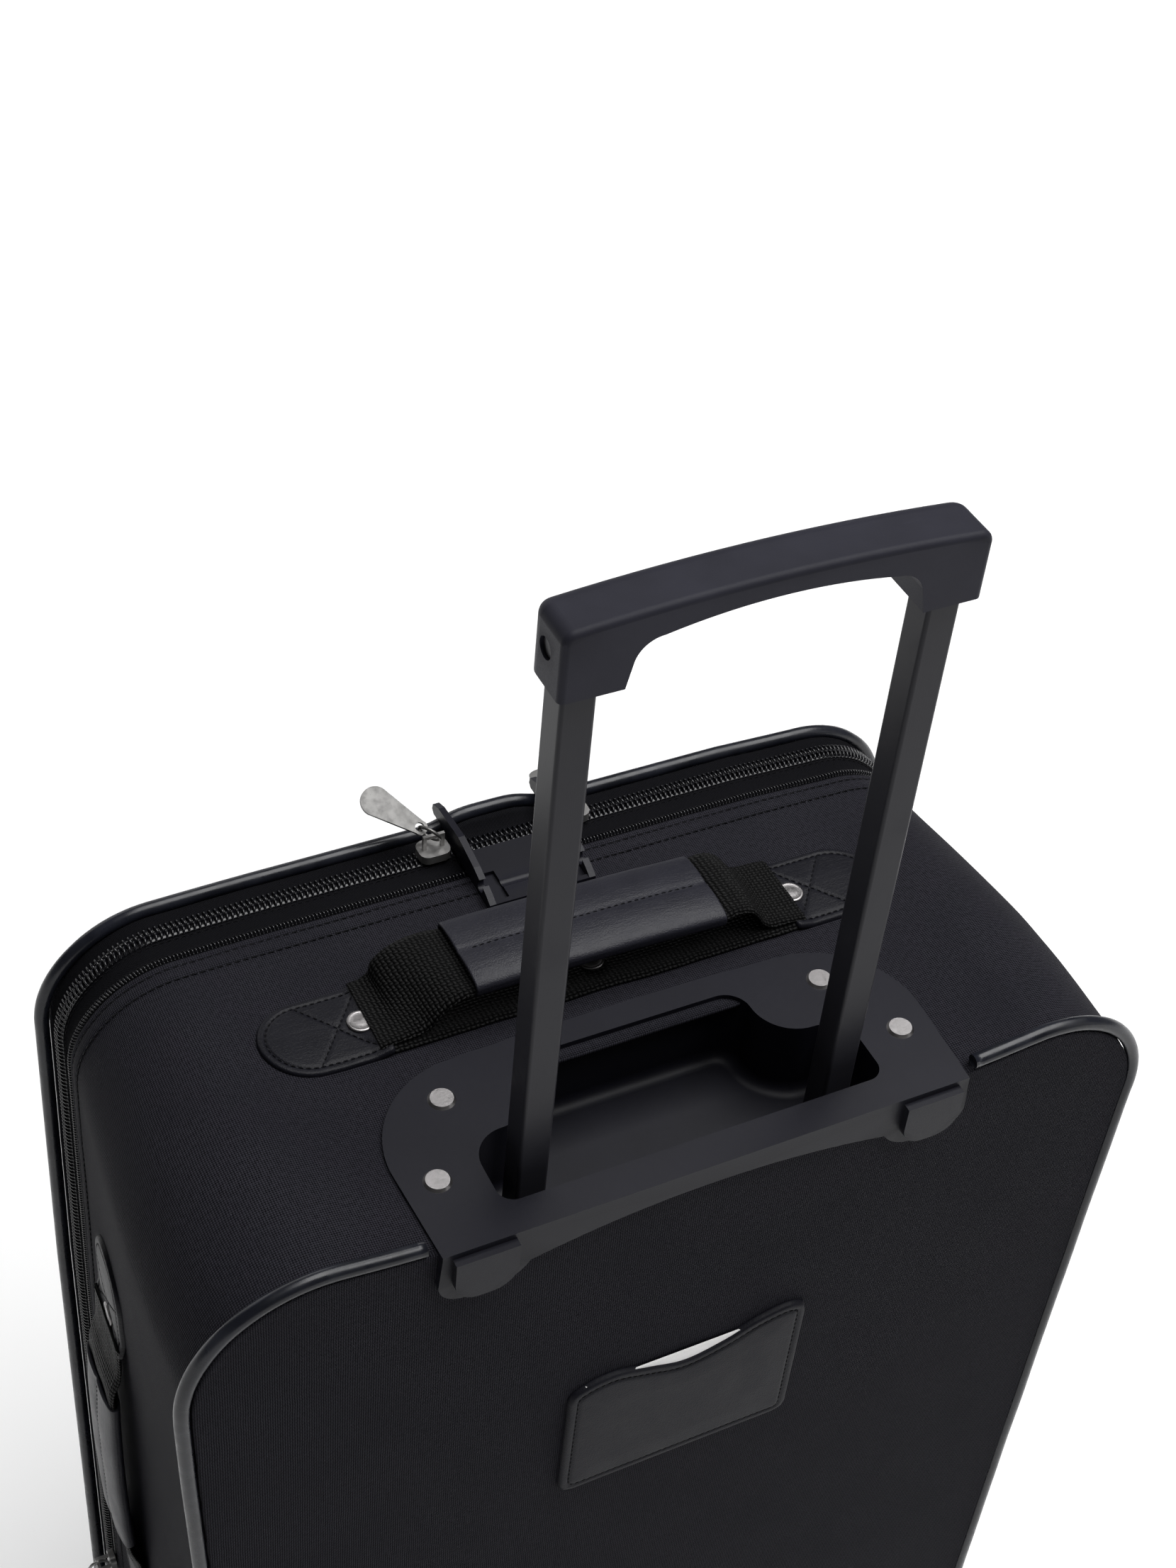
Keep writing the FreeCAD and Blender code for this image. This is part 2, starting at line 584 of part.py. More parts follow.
def make_carry_handle():
    strip = box("strip_blank", ("-patch_in", "carry_y - strap_wide / 2", "top_z"),
                ("2 * patch_in", "strap_wide", "strap_thick"))
    hole = cylinder("strip_hole", ("0", "carry_y", "top_z"), "shank_r", "strap_thick")
    keep("webbing_strip", cut("webbing_strip", strip, hole))
    for tag, sign in (("left", 1), ("right", -1)):
        blank = pad(f"patch_blank_{tag}", "XY_Plane", lambda s: patch_outline(s, num("carry_y"), sign),
                    "patch_thick", ("0", "0", "top_z"))
        centre = (f"{sign} * carry_rivet_x", "carry_y", "top_z")
        hole = cylinder(f"patch_hole_{tag}", centre, "shank_r", "patch_thick")
        keep(f"patch_{tag}", cut(f"patch_{tag}", blank, hole))
    tops = (("carry_rivet_x", "patch_thick"), ("-carry_rivet_x", "patch_thick"), ("0", "strap_thick"))
    rivets = [rivet(f"carry_rivet{i}", (x, "carry_y", f"top_z + {layer}"), f"{layer} + 3")
              for i, (x, layer) in enumerate(tops)]
    keep("handle_rivets", group("handle_rivets", *rivets))
    foot = num("top_z") + num("strap_thick") + 0.3
    high = num("loop_high") - 0.3
    web = pad("carry_webbing", "XZ_Plane", lambda s: loop_outline(s, foot, high, num("strap_thick")),
              "strap_wide", ("0", "loop_y + strap_wide / 2", "0"))
    keep("carry_webbing", web)
    under = f"{foot + high} - (sleeve_thick + strap_thick) / 2"
    block = box("carry_block", ("-sleeve_half", "loop_y - sleeve_wide / 2", under),
                ("2 * sleeve_half", "sleeve_wide", "sleeve_thick"))
    soft = fillet("carry_soft", block, 2.2, lambda e: e.BoundBox.XLength > 50)
    keep("carry_sleeve", cut("carry_sleeve", soft, web))


def make_side_handle():
    """The same handle on the left side, standing off the gusset towards +X."""
    patches = []
    for tag, sign in (("top", 1), ("bottom", -1)):
        def draw(sketch):
            inner, outer, half = num("patch_in"), num("patch_out"), num("patch_wide") / 2
            y, z = num("side_y"), num("side_z")
            outline(sketch, (y - half, z + sign * inner), [
                ((y - half, z + sign * (outer - half)),),
                ((y, z + sign * outer), (y + half, z + sign * (outer - half))),
                ((y + half, z + sign * inner),),
                ((y - half, z + sign * inner),),
            ])
        blank = pad(f"side_patch_blank_{tag}", "YZ_Plane", draw, "patch_thick", ("case_width / 2", "0", "0"))
        centre = ("case_width / 2", "side_y", f"side_z + {sign} * carry_rivet_x")
        hole = cylinder(f"side_patch_hole_{tag}", centre, "shank_r", "patch_thick", "x")
        patches.append(cut(f"side_patch_{tag}", blank, hole))
    keep("side_patches", group("side_patches", *patches))
    places = [("case_width / 2 + patch_thick", "side_y", f"side_z + {sign} * carry_rivet_x")
              for sign in (1, -1)]
    rivets = [rivet(f"side_rivet{i}", place, "patch_thick + 3", "x") for i, place in enumerate(places)]
    keep("side_rivets", group("side_rivets", *rivets))
    foot, high = 0.3, num("side_loop_high")
    web = pad("side_webbing", "XZ_Plane", lambda s: loop_outline(s, foot, high, num("strap_thick")),
              "strap_wide",
              ("case_width / 2", "side_y + strap_wide / 2", "side_z"))
    web.Placement.Rotation = FreeCAD.Rotation(V(0, 1, 0), 90)
    keep("side_webbing", web)
    under = f"case_width / 2 + {foot + high} - (sleeve_thick + strap_thick) / 2"
    block = box("side_block", (under, "side_y - sleeve_wide / 2", "side_z - sleeve_half"),
                ("sleeve_thick", "sleeve_wide", "2 * sleeve_half"))
    soft = fillet("side_soft", block, 2.2, lambda e: e.BoundBox.ZLength > 50)
    keep("side_sleeve", cut("side_sleeve", soft, web))


# ---------------------------------------------------------------- identity label


def make_label():
    def draw(sketch):
        x0, low = num("label_x"), num("label_low_z")
        half, soft = 47.5, 5
        outline(sketch, (x0 - half + soft, low), [
            ((x0 + half - soft, low),),
            ((x0 + half - 0.29 * soft, low + 0.29 * soft), (x0 + half, low + soft)),
            ((x0 + half, low + 58),),
            ((x0 + half - 1.3, low + 61), (x0 + 42, low + 63)),
            ((x0 + 31, low + 66.2), (x0 + 17, low + 63)),
            ((x0 + 2.5, low + 59.2), (x0 - 14, low + 62)),
            ((x0 - 30, low + 67.4), (x0 - 43, low + 68)),
            ((x0 - half + 0.8, low + 66), (x0 - half, low + 62)),
            ((x0 - half, low + soft),),
            ((x0 - half + 0.29 * soft, low + 0.29 * soft), (x0 - half + soft, low)),
        ])
    blank = pad("label_blank", "XZ_Plane", draw, "label_thick", ("0", "rear_y + label_thick", "0"))
    slot = box("label_slot", ("label_x - card_width / 2 - 1", "rear_y", "label_low_z + 6"),
               ("card_width + 2", "1.2", "70"))
    keep("id_holder", cut("id_holder", blank, slot))
    card = box("card", ("label_x - card_width / 2", "rear_y + 0.3", "label_low_z + 6.5"),
               ("card_width", "card_thick", "card_height"))
    keep("id_card", card)


# ---------------------------------------------------------------- padlock dock


def make_dock():
    def wall_outline(sketch):
        rear, top = num("rear_y"), num("top_z") + num("bezel_thick")
        points = [(-131, -2), (-149, -2), (-149, -0.9), (-168.5, -0.9), (-171, 1.5), (-182, 1.5),
                  (-183.5, 3), (-183, 5.5), (-178, 7.5), (-160, 9), (-146, 6.5), (-135, 3),
                  (-131, 1), (-131, -2)]
        start = (rear + points[0][0], top + points[0][1])
        outline(sketch, start, [((rear + y, top + z),) for y, z in points[1:]])

    plate_low = box("dock_heel", ("-dock_half", "hem_y + 1", "top_z"),
                    ("2 * dock_half", "dock_rear_y - hem_y - 1", "dock_thick"))
    plate = box("dock_plate", ("-dock_half", "dock_front_y", "top_z + 1.1"),
                ("2 * dock_half", "dock_rear_y - dock_front_y", "dock_thick - 1.1"))
    left = pad("dock_wall_left", "YZ_Plane", wall_outline, "dock_wall", ("dock_half - dock_wall", "0", "0"))
    right = pad("dock_wall_right", "YZ_Plane", wall_outline, "dock_wall", ("-dock_half", "0", "0"))
    whole = fuse("dock_whole", plate_low, plate, left, right)
    hole = cylinder("dock_hole", ("-dock_half - 1", "-36", "top_z + 4.6"), "2.4", "2 * dock_half + 2", "x")
    notches = [box(f"dock_notch_{tag}", (x, "-43", "top_z + 1.4"), ("6", "14", "dock_thick"))
               for tag, x in (("left", "dock_half - dock_wall - 6"), ("right", "dock_wall - dock_half"))]
    keep("lock_dock", cut("lock_dock", whole, hole, *notches))


# ---------------------------------------------------------------- zip sliders and pulls

# A slider's own axes: along its zip, across it, and out of the fabric.
TOP_ZIP = ("+x", "+y", "+z")
SIDE_ZIP = ("+z", "+y", "+x")
FRONT_ZIP = ("+x", "+z", "-y")


def local_box(name, origin, axes, low, size):
    """A box given in a slider's own axes, set down in the case's axes."""
    corner, spans = {}, {}
    for axis, start, span in zip(axes, low, size):
        letter = "xyz".index(axis[1])
        forward, backward = f"{origin[letter]} + {start}", f"{origin[letter]} - ({start}) - ({span})"
        corner[letter] = forward if axis[0] == "+" else backward
        spans[letter] = span
    return box(name, [corner[i] for i in range(3)], [spans[i] for i in range(3)])


def make_slider(node, origin, axes, kind="", bridge_across=False):
    """Crown plate with rounded corners over the coil and a bridge for the pull."""
    bridge_axes = (axes[1], axes[0], axes[2]) if bridge_across else axes
    long, wide, plate = (f"{kind}slider_{part}" for part in ("long", "wide", "plate"))
    if kind:
        bail_high, bail_half = "bail_high - 0.8", "bail_half - 1"
    else:
        bail_high, bail_half = "bail_high", "bail_half"
    blank = local_box(node + "_crown", origin, axes, (f"-{long} / 2", f"-{wide} / 2", "slider_clear"),
                      (long, wide, plate))
    crown = fillet(node + "_round", blank, 0.36 * num(wide), lambda e: e.Length < num(plate) + 0.01)
    base = f"slider_clear + {plate}"
    across = "-bail_wire / 2"
    rise = f"{bail_high} + bail_wire / 2 + 0.5"
    posts = [local_box(f"{node}_post{i}", origin, bridge_axes, (x, across, f"{base} - 0.5"),
                       ("bail_wire", "bail_wire", rise))
             for i, x in enumerate((f"-({bail_half})", f"{bail_half} - bail_wire"))]
    bridge = local_box(node + "_bridge", origin, bridge_axes,
                       (f"-({bail_half})", across, f"{base} + {bail_high} - bail_wire / 2"),
                       (f"2 * ({bail_half})", "bail_wire", "bail_wire"))
    keep(node, fuse(node, crown, *posts, bridge))


def make_pull(node, pivot, along, out, kind=""):
    """A tab with a link ring. along points from the pivot to the tip and out is the tab's normal."""
    length, wide = num(f"{kind}pull_long"), num(f"{kind}pull_wide")
    eye = num("ring_shift") + num("ring_r")

    def draw(sketch):
        tail, tip = 2.6, wide / 2
        outline(sketch, (eye - 2.9, 0), [
            ((eye - 2, tail - 0.5), (eye, tail),),
            ((length - tip, tip),),
            ((length, 0), (length - tip, -tip)),
            ((eye, -tail),),
            ((eye - 2, -(tail - 0.5)), (eye - 2.9, 0)),
        ])
        sketch.addGeometry(Part.Circle(V(eye, 0, 0), V(0, 0, 1), 1.7), False)
    across = out.cross(along)
    turn = FreeCAD.Rotation(along, across, out, "ZXY")
    tab = pad(node + "_tab", "XY_Plane", draw, "pull_thick")
    shift = out * (-num("pull_thick") / 2)
    tab.Placement = FreeCAD.Placement(V(0, 0, 0), turn)
    place(tab, [f"{base} + {move:.6f}" for base, move in zip(pivot, shift)])
    ring = doc.addObject("Part::Torus", node + "_ring")
    bind(ring, "Radius1", "ring_r")
    bind(ring, "Radius2", "ring_wire")
    ring.Placement = FreeCAD.Placement(V(0, 0, 0), FreeCAD.Rotation(along, out, -across, "ZXY"))
    place(ring, [f"{base} + {move:.6f}" for base, move in zip(pivot, along * num("ring_shift"))])
    keep(node, group(node, tab, ring))


def direction(yaw, tilt):
    """Unit vector of a top pull: yaw in degrees from +X towards -Y, tilt in degrees above level."""
    yaw, tilt = math.radians(yaw), math.radians(tilt)
    return V(math.cos(yaw) * math.cos(tilt), -math.sin(yaw) * math.cos(tilt), math.sin(tilt))


def make_top_pull(node, x, yaw, tilt, roll):
    """roll turns the tab about its own length, in degrees towards the rear."""
    along = direction(yaw, tilt)
    out = FreeCAD.Rotation(along, roll).multVec(direction(yaw, tilt + 90))
    pivot = (x, "coil_y", "top_z + coil_proud + slider_clear + slider_plate + bail_high")
    make_pull(node, pivot, along, out)


def make_sliders():
    z = "top_z + coil_proud"
    make_slider("slider_left", ("slider_left_x", "coil_y", z), TOP_ZIP)
    make_slider("slider_right", ("-slider_right_x", "coil_y", z), TOP_ZIP)
    make_top_pull("pull_left", "slider_left_x", 41, 24, -28)
    make_top_pull("pull_right", "-slider_right_x", 88, -20, 0)
    side = ("case_width / 2 + expander_wall / 2", "expander_y", "expander_slider_z")
    make_slider("expander_slider", side, SIDE_ZIP, "small_", bridge_across=True)
    rise = "slider_clear + small_slider_plate + bail_high - 0.8"
    pivot = (f"{side[0]} + {rise}", side[1], side[2])
    make_pull("expander_pull", pivot, V(0, 0, -1), V(1, 0, 0), "small_")
    for pocket in ("lower", "upper"):
        face = f"lid_y - lid_thick - {pocket}_pocket_thick - pocket_zip_thick"
        z = f"{pocket}_pocket_z + {pocket}_pocket_height - pocket_zip_drop"
        make_slider(f"{pocket}_pocket_slider", ("pocket_slider_x", face, z), FRONT_ZIP, "small_")
        pivot = ("pocket_slider_x", f"{face} - ({rise})", z)
        make_pull(f"{pocket}_pocket_pull", pivot, V(0, 0, -1), V(0, -1, 0), "small_")


# ---------------------------------------------------------------- lid and pockets


def make_lid():
    keep("lid_panel", panel("lid_panel", (*LID, 0), "lid_thick", "lid_y"))
    ring = piping_ring("front_cord", "piping_front_y", "lid_height")
    keep("lid_piping", ring)
    keep("lid_liner", panel("lid_liner", (*LID, -8), "1", "lid_y + 1"))
    for pocket in ("lower", "upper"):
        rect = ("pocket_width", f"{pocket}_pocket_height", "pocket_radius", f"{pocket}_pocket_z", 0)
        blank = panel(f"{pocket}_pocket_blank", rect, f"{pocket}_pocket_thick", "lid_y - lid_thick")
        doc.recompute()
        front = blank.Shape.BoundBox.YMin
        soft = fillet(f"{pocket}_pocket", blank, 8, lambda e: e.BoundBox.YMax < front + 0.01)
        keep(f"{pocket}_pocket", soft)
        face = f"lid_y - lid_thick - {pocket}_pocket_thick"
        z = f"{pocket}_pocket_z + {pocket}_pocket_height - pocket_zip_drop"
        corner = ("-pocket_zip_half", f"{face} - pocket_zip_thick", f"{z} - pocket_zip_wide / 2")
        strip = box(f"{pocket}_pocket_zip", corner,
                    ("2 * pocket_zip_half", "pocket_zip_thick", "pocket_zip_wide"))
        keep(f"{pocket}_pocket_zip", strip)


# ---------------------------------------------------------------- wheels and feet


def make_wheels():
    def housing_outline(sketch):
        front, rear, high = num("housing_front_y"), num("housing_rear_y"), num("housing_top_z")
        y, z = num("wheel_y"), num("wheel_r")
        outline(sketch, (front, high), [
            ((front, z + 12),),
            ((y - 13, z + 2),),
            ((y, z - 12), (y + 13, z + 2)),
            ((rear, z + 10),),
            ((rear, high),),
            ((front, high),),
        ])
    for tag, x in (("left", "wheel_x"), ("right", "-wheel_x")):
        def post(name, radius, width):
            start = (f"{x} - ({width}) / 2", "wheel_y", "wheel_r")
            return cylinder(f"{name}_{tag}", start, radius, width, "x")
        block = pad(f"housing_block_{tag}", "YZ_Plane", housing_outline, "housing_wide",
                    (f"{x} - housing_wide / 2", "0", "0"))
        well = post("housing_well", "well_r", "well_wide")
        bore = post("housing_bore", "axle_r", "housing_wide + 2")
        keep(f"wheel_housing_{tag}", cut(f"wheel_housing_{tag}", block, well, bore))
        hub_bore = post("hub_bore", "axle_r + axle_clear", "hub_wide + 2")
        keep(f"hub_{tag}", cut(f"hub_{tag}", post("hub_disc", "hub_r", "hub_wide"), hub_bore))
        disc = post("tyre_disc", "wheel_r", "tyre_wide")
        soft = fillet(f"tyre_soft_{tag}", disc, 4, lambda e: e.Curve.TypeId == "Part::GeomCircle")
        keep(f"tyre_{tag}", cut(f"tyre_{tag}", soft, post("tyre_bore", "hub_r", "tyre_wide + 2")))
    starts = [(tag, (f"{x} - housing_wide / 2", "wheel_y", "wheel_r"))
              for tag, x in (("left", "wheel_x"), ("right", "-wheel_x"))]
    axles = [cylinder(f"axle_{tag}", start, "axle_r", "housing_wide", "x") for tag, start in starts]
    keep("axles", group("axles", *axles))


def make_feet():
    def foot_outline(sketch):
        y, half, high, taper = num("foot_y"), num("foot_deep") / 2, num("base_z"), 6
        outline(sketch, (y - half, high), [
            ((y - half + taper, 3),),
            ((y - half + taper + 1, 0.9), (y - half + taper + 3, 0)),
            ((y + half - taper - 3, 0),),
            ((y + half - taper - 1, 0.9), (y + half - taper, 3)),
            ((y + half, high),),
            ((y - half, high),),
        ])
    feet = [pad(f"foot_{tag}", "YZ_Plane", foot_outline, "foot_wide", (f"{x} - foot_wide / 2", "0", "0"))
            for tag, x in (("left", "foot_x"), ("right", "-foot_x"))]
    keep("front_feet", group("front_feet", *feet))


make_back_panel()
make_gusset()
make_rear_piping()
make_zip()
make_hinge_strip()
make_liner()
make_base_board()
make_bezel()
make_guide_tubes()
make_trolley()
make_carry_handle()
make_side_handle()
make_label()
make_dock()
make_sliders()
make_lid()
make_wheels()
make_feet()

doc.recompute()
for thing in doc.Objects:
    if "Invalid" in thing.State or "Error" in thing.State:
        raise RuntimeError(f"{thing.Label} failed: {thing.State}")
os.makedirs("parts", exist_ok=True)
for node, thing in nodes.items():
    shape = thing.Shape
    if shape.isNull() or not shape.isValid() or not shape.Solids:
        raise RuntimeError(f"{node} has no valid solid")
    shape.exportStep(f"parts/{node}.step")
print(len(nodes), "nodes")
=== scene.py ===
"""Softside upright suitcase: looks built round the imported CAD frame.

Lengths are millimetres, except where a line passes metres to Blender or to the frame.
"""

import math

import bmesh
import bpy
import numpy as np
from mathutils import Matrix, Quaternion, Vector, noise


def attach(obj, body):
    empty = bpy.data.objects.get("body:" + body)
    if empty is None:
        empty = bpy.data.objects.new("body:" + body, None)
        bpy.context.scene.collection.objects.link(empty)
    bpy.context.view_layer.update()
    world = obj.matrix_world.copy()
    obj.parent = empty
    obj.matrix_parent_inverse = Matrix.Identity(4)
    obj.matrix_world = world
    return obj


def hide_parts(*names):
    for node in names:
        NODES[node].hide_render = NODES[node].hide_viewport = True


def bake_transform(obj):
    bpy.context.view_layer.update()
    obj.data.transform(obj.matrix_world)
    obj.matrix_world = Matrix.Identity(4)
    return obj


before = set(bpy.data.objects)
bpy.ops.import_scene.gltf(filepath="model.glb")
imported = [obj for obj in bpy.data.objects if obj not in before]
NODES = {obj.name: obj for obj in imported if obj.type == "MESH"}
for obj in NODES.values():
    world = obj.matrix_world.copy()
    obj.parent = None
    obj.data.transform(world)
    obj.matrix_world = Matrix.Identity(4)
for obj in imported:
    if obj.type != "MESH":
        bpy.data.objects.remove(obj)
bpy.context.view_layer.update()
MM = 0.001


# ---------------------------------------------------------------- camera, floor and light

CAMERA_AT = Vector((297.05, 513.97, 1130.82)) * MM
LOOK_AT = Vector((3.6, 3.3, 599.8)) * MM
CAMERA_ROLL = 5.87
LENS = 55.45
WORLD_LIGHT = 0.07
FLOOR_GLOW = 0.12
FAR_GLOW = 0.75
GLOW_START, GLOW_END = 0.5, 2.4
FLOOR_HALF = 7
# Each light's name, place, target, size and power, in metres and watts.
LIGHTS = (
    ("overhead", (-0.65, 0.1, 2.4), (0, 0, 0.4), (2.0, 2.0), 84),
    ("front", (0.5, -2.6, 1.5), (0, 0, 0.3), (2.6, 1.6), 16),
    ("side", (-1.9, 1.5, 1.5), (0, 0, 0.5), (1.0, 1.6), 4),
)


def make_camera():
    data = bpy.data.cameras.new("camera")
    camera = bpy.data.objects.new("camera", data)
    bpy.context.scene.collection.objects.link(camera)
    look = (LOOK_AT - CAMERA_AT).normalized()
    turn = look.to_track_quat("-Z", "Y")
    camera.rotation_mode = "QUATERNION"
    camera.location = CAMERA_AT
    camera.rotation_quaternion = Quaternion(look, -math.radians(CAMERA_ROLL)) @ turn
    data.lens = LENS
    data.sensor_width = 36
    data.clip_start, data.clip_end = 0.01, 50
    bpy.context.scene.camera = camera


def area_light(name, at, target, size, power):
    data = bpy.data.lights.new(name, "AREA")
    data.shape = "RECTANGLE"
    data.size, data.size_y = size
    data.energy = power
    light = bpy.data.objects.new(name, data)
    bpy.context.scene.collection.objects.link(light)
    light.location = at
    light.rotation_mode = "QUATERNION"
    light.rotation_quaternion = (Vector(target) - Vector(at)).to_track_quat("-Z", "Y")


def make_studio():
    scene = bpy.context.scene
    world = bpy.data.worlds.new("studio")
    scene.world = world
    world.use_nodes = True
    background = world.node_tree.nodes["Background"]
    background.inputs["Color"].default_value = (1, 1, 1, 1)
    background.inputs["Strength"].default_value = WORLD_LIGHT
    scene.view_settings.view_transform = "Standard"
    mesh = bpy.data.meshes.new("floor")
    side = FLOOR_HALF
    corners = [(-side, -side, 0), (side, -side, 0), (side, side, 0), (-side, side, 0)]
    mesh.from_pydata(corners, [], [(0, 1, 2, 3)])
    floor = bpy.data.objects.new("floor", mesh)
    scene.collection.objects.link(floor)
    paint = bpy.data.materials.new("floor_paint")
    paint.use_nodes = True
    shader = paint.node_tree.nodes["Principled BSDF"]
    shader.inputs["Base Color"].default_value = (0.8, 0.8, 0.8, 1)
    shader.inputs["Roughness"].default_value = 0.9
    shader.inputs["Emission Color"].default_value = (1, 1, 1, 1)
    spot = paint.node_tree.nodes.new("ShaderNodeTexCoord")
    reach = paint.node_tree.nodes.new("ShaderNodeVectorMath")
    reach.operation = "LENGTH"
    glow = paint.node_tree.nodes.new("ShaderNodeMapRange")
    glow.interpolation_type = "SMOOTHSTEP"
    for socket, value in zip(glow.inputs[1:5], (GLOW_START, GLOW_END, FLOOR_GLOW, FAR_GLOW)):
        socket.default_value = value
    paint.node_tree.links.new(spot.outputs["Object"], reach.inputs[0])
    paint.node_tree.links.new(reach.outputs["Value"], glow.inputs[0])
    paint.node_tree.links.new(glow.outputs[0], shader.inputs["Emission Strength"])
    mesh.materials.append(paint)
    for light in LIGHTS:
        area_light(*light)


# ---------------------------------------------------------------- materials


class Shader:
    """One procedural material, with short calls for the nodes it is built from."""

    def __init__(self, name, uv="cloth"):
        self.material = bpy.data.materials.new(name)
        self.material.use_nodes = True
        self.tree = self.material.node_tree
        self.bsdf = self.tree.nodes["Principled BSDF"]
        self.uv = uv

    def node(self, kind, **settings):
        made = self.tree.nodes.new("ShaderNode" + kind)
        for key, value in settings.items():
            setattr(made, key, value)
        return made

    def feed(self, socket, value):
        if isinstance(value, bpy.types.NodeSocket):
            self.tree.links.new(value, socket)
        elif hasattr(value, "__len__") and len(value) == 3 and len(socket.default_value) == 4:
            socket.default_value = (*value, 1)
        else:
            socket.default_value = value

    def math(self, operation, *values):
        made = self.node("Math", operation=operation)
        for socket, value in zip(made.inputs, values):
            self.feed(socket, value)
        return made.outputs[0]

    def ramp(self, value, low, high, to_low=0.0, to_high=1.0):
        made = self.node("MapRange", clamp=True, interpolation_type="SMOOTHSTEP")
        for socket, entry in zip(made.inputs, (value, low, high, to_low, to_high)):
            self.feed(socket, entry)
        return made.outputs[0]

    def mix(self, factor, a, b):
        made = self.node("Mix", data_type="RGBA")
        self.feed(made.inputs[0], factor)
        self.feed(made.inputs[6], a)
        self.feed(made.inputs[7], b)
        return made.outputs[2]

    def place(self):
        """Millimetres over the surface: the piece's own unrolled cloth, or its solid position."""
        if self.uv:
            return self.node("UVMap", uv_map=self.uv).outputs[0]
        made = self.node("VectorMath", operation="SCALE")
        self.tree.links.new(self.node("TexCoord").outputs["Object"], made.inputs[0])
        made.inputs["Scale"].default_value = 1000
        return made.outputs[0]

    def split(self, vector):
        made = self.node("SeparateXYZ")
        self.tree.links.new(vector, made.inputs[0])
        return made.outputs

    def noise(self, vector, period, detail=2.0, rough=0.5):
        made = self.node("TexNoise")
        self.tree.links.new(vector, made.inputs["Vector"])
        made.inputs["Scale"].default_value = 1 / period
        made.inputs["Detail"].default_value = detail
        made.inputs["Roughness"].default_value = rough
        return made.outputs[0]

    def cells(self, vector, period, feature="F1"):
        made = self.node("TexVoronoi", feature=feature)
        self.tree.links.new(vector, made.inputs["Vector"])
        made.inputs["Scale"].default_value = 1 / period
        return made.outputs[0]

    def wave(self, value, pitch):
        return self.math("SINE", self.math("MULTIPLY", value, math.pi / pitch))

    def weave(self, u, v, pitch_u, pitch_v, over=0.5):
        """Height of a plain weave: rounded threads that pass over and under each other."""
        a, b = self.wave(u, pitch_u), self.wave(v, pitch_v)
        cross = self.math("MULTIPLY", self.math("MULTIPLY", a, b), over)
        warp = self.math("MULTIPLY_ADD", self.math("ABSOLUTE", a), 0.5, cross)
        weft = self.math("MULTIPLY_ADD", self.math("ABSOLUTE", b), 0.5, self.math("MULTIPLY", cross, -1.0))
        return self.math("MAXIMUM", warp, weft)

    def bump(self, height, depth, below=None):
        """depth is the height's real size in millimetres."""
        made = self.node("Bump")
        made.inputs["Distance"].default_value = depth * MM
        self.tree.links.new(height, made.inputs["Height"])
        if below is not None:
            self.tree.links.new(below, made.inputs["Normal"])
        return made.outputs[0]

    def stretched(self, vector, scale, turn=(0, 0, 0)):
        made = self.node("Mapping")
        self.tree.links.new(vector, made.inputs["Vector"])
        made.inputs["Rotation"].default_value = turn
        made.inputs["Scale"].default_value = scale
        return made.outputs[0]

    def edges(self, low, high):
        """One where the mesh has a sharp outer edge."""
        return self.ramp(self.node("NewGeometry").outputs["Pointiness"], low, high)

    def finish(self, color, rough, normal=None, **fixed):
        self.feed(self.bsdf.inputs["Base Color"], color)
        self.feed(self.bsdf.inputs["Roughness"], rough)
        if normal is not None:
            self.tree.links.new(normal, self.bsdf.inputs["Normal"])
        for key, value in fixed.items():
            self.bsdf.inputs[key.replace("_", " ")].default_value = value
        return self.material


def shade(color, factor):
    return tuple(factor * c for c in color)


def cloth_place(s, solid=False):
    """Two directions over the cloth, and the place that noise is read at."""
    if not solid:
        return s.split(s.place())[:2], s.place()
    where = s.place()
    x, y, z = s.split(where)
    return (s.math("ADD", x, y), s.math("ADD", z, y)), where


def polyester(name, solid=False):
    """Black 600-denier polyester: a plain weave with lint, a faint blue cast and painted shade between its
    threads.
    """
    s = Shader(name, None if solid else "cloth")
    (u, v), where = cloth_place(s, solid)
    pitch = 0.82
    wobble = s.math("MULTIPLY", s.noise(where, 9.0, 1.0), 0.5)
    threads = s.weave(s.math("ADD", u, wobble), s.math("ADD", v, wobble), pitch, pitch)
    slub = s.noise(where, 1.6, 2.0)
    patchy = s.noise(where, 34.0, 3.0)
    lint = s.ramp(s.cells(where, 4.6), 0.035, 0.02)
    # light mixes the slub's random thread tone with painted shade: the gaps between threads are painted near
    # black, the thread crowns painted lighter as highlights.
    light = s.ramp(s.math("MULTIPLY_ADD", slub, 0.55, threads), 0.35, 1.15)
    base = s.mix(light, (0.0014, 0.0014, 0.0021), (0.0215, 0.021, 0.0265))
    base = s.mix(s.ramp(patchy, 0.35, 0.75, 0.0, 0.35), base, (0.009, 0.009, 0.012))
    base = s.mix(s.math("MULTIPLY", lint, 0.5), base, (0.13, 0.13, 0.15))
    fine = s.bump(slub, 0.05)
    return s.finish(base, s.ramp(threads, 0.2, 0.9, 0.85, 0.5), s.bump(threads, 0.22, below=fine),
                    Specular_IOR_Level=0.03)


def tape_cloth(name):
    """Herringbone zip tape."""
    s = Shader(name)
    (u, v), where = cloth_place(s)
    zig = s.math("PINGPONG", v, 2.6)
    rib = s.wave(s.math("ADD", u, zig), 0.62)
    grain = s.noise(where, 0.9)
    height = s.math("ADD", s.math("MULTIPLY", s.math("ABSOLUTE", rib), 0.8),
                    s.math("MULTIPLY", grain, 0.3))
    # Base colour follows the rib height: painted shade in the grooves between ribs, painted highlight on
    # their crowns.
    base = s.mix(s.ramp(height, 0.2, 1.0), (0.0004, 0.0004, 0.0006), (0.0075, 0.0075, 0.009))
    return s.finish(base, 0.75, s.bump(height, 0.16), Specular_IOR_Level=0.02)


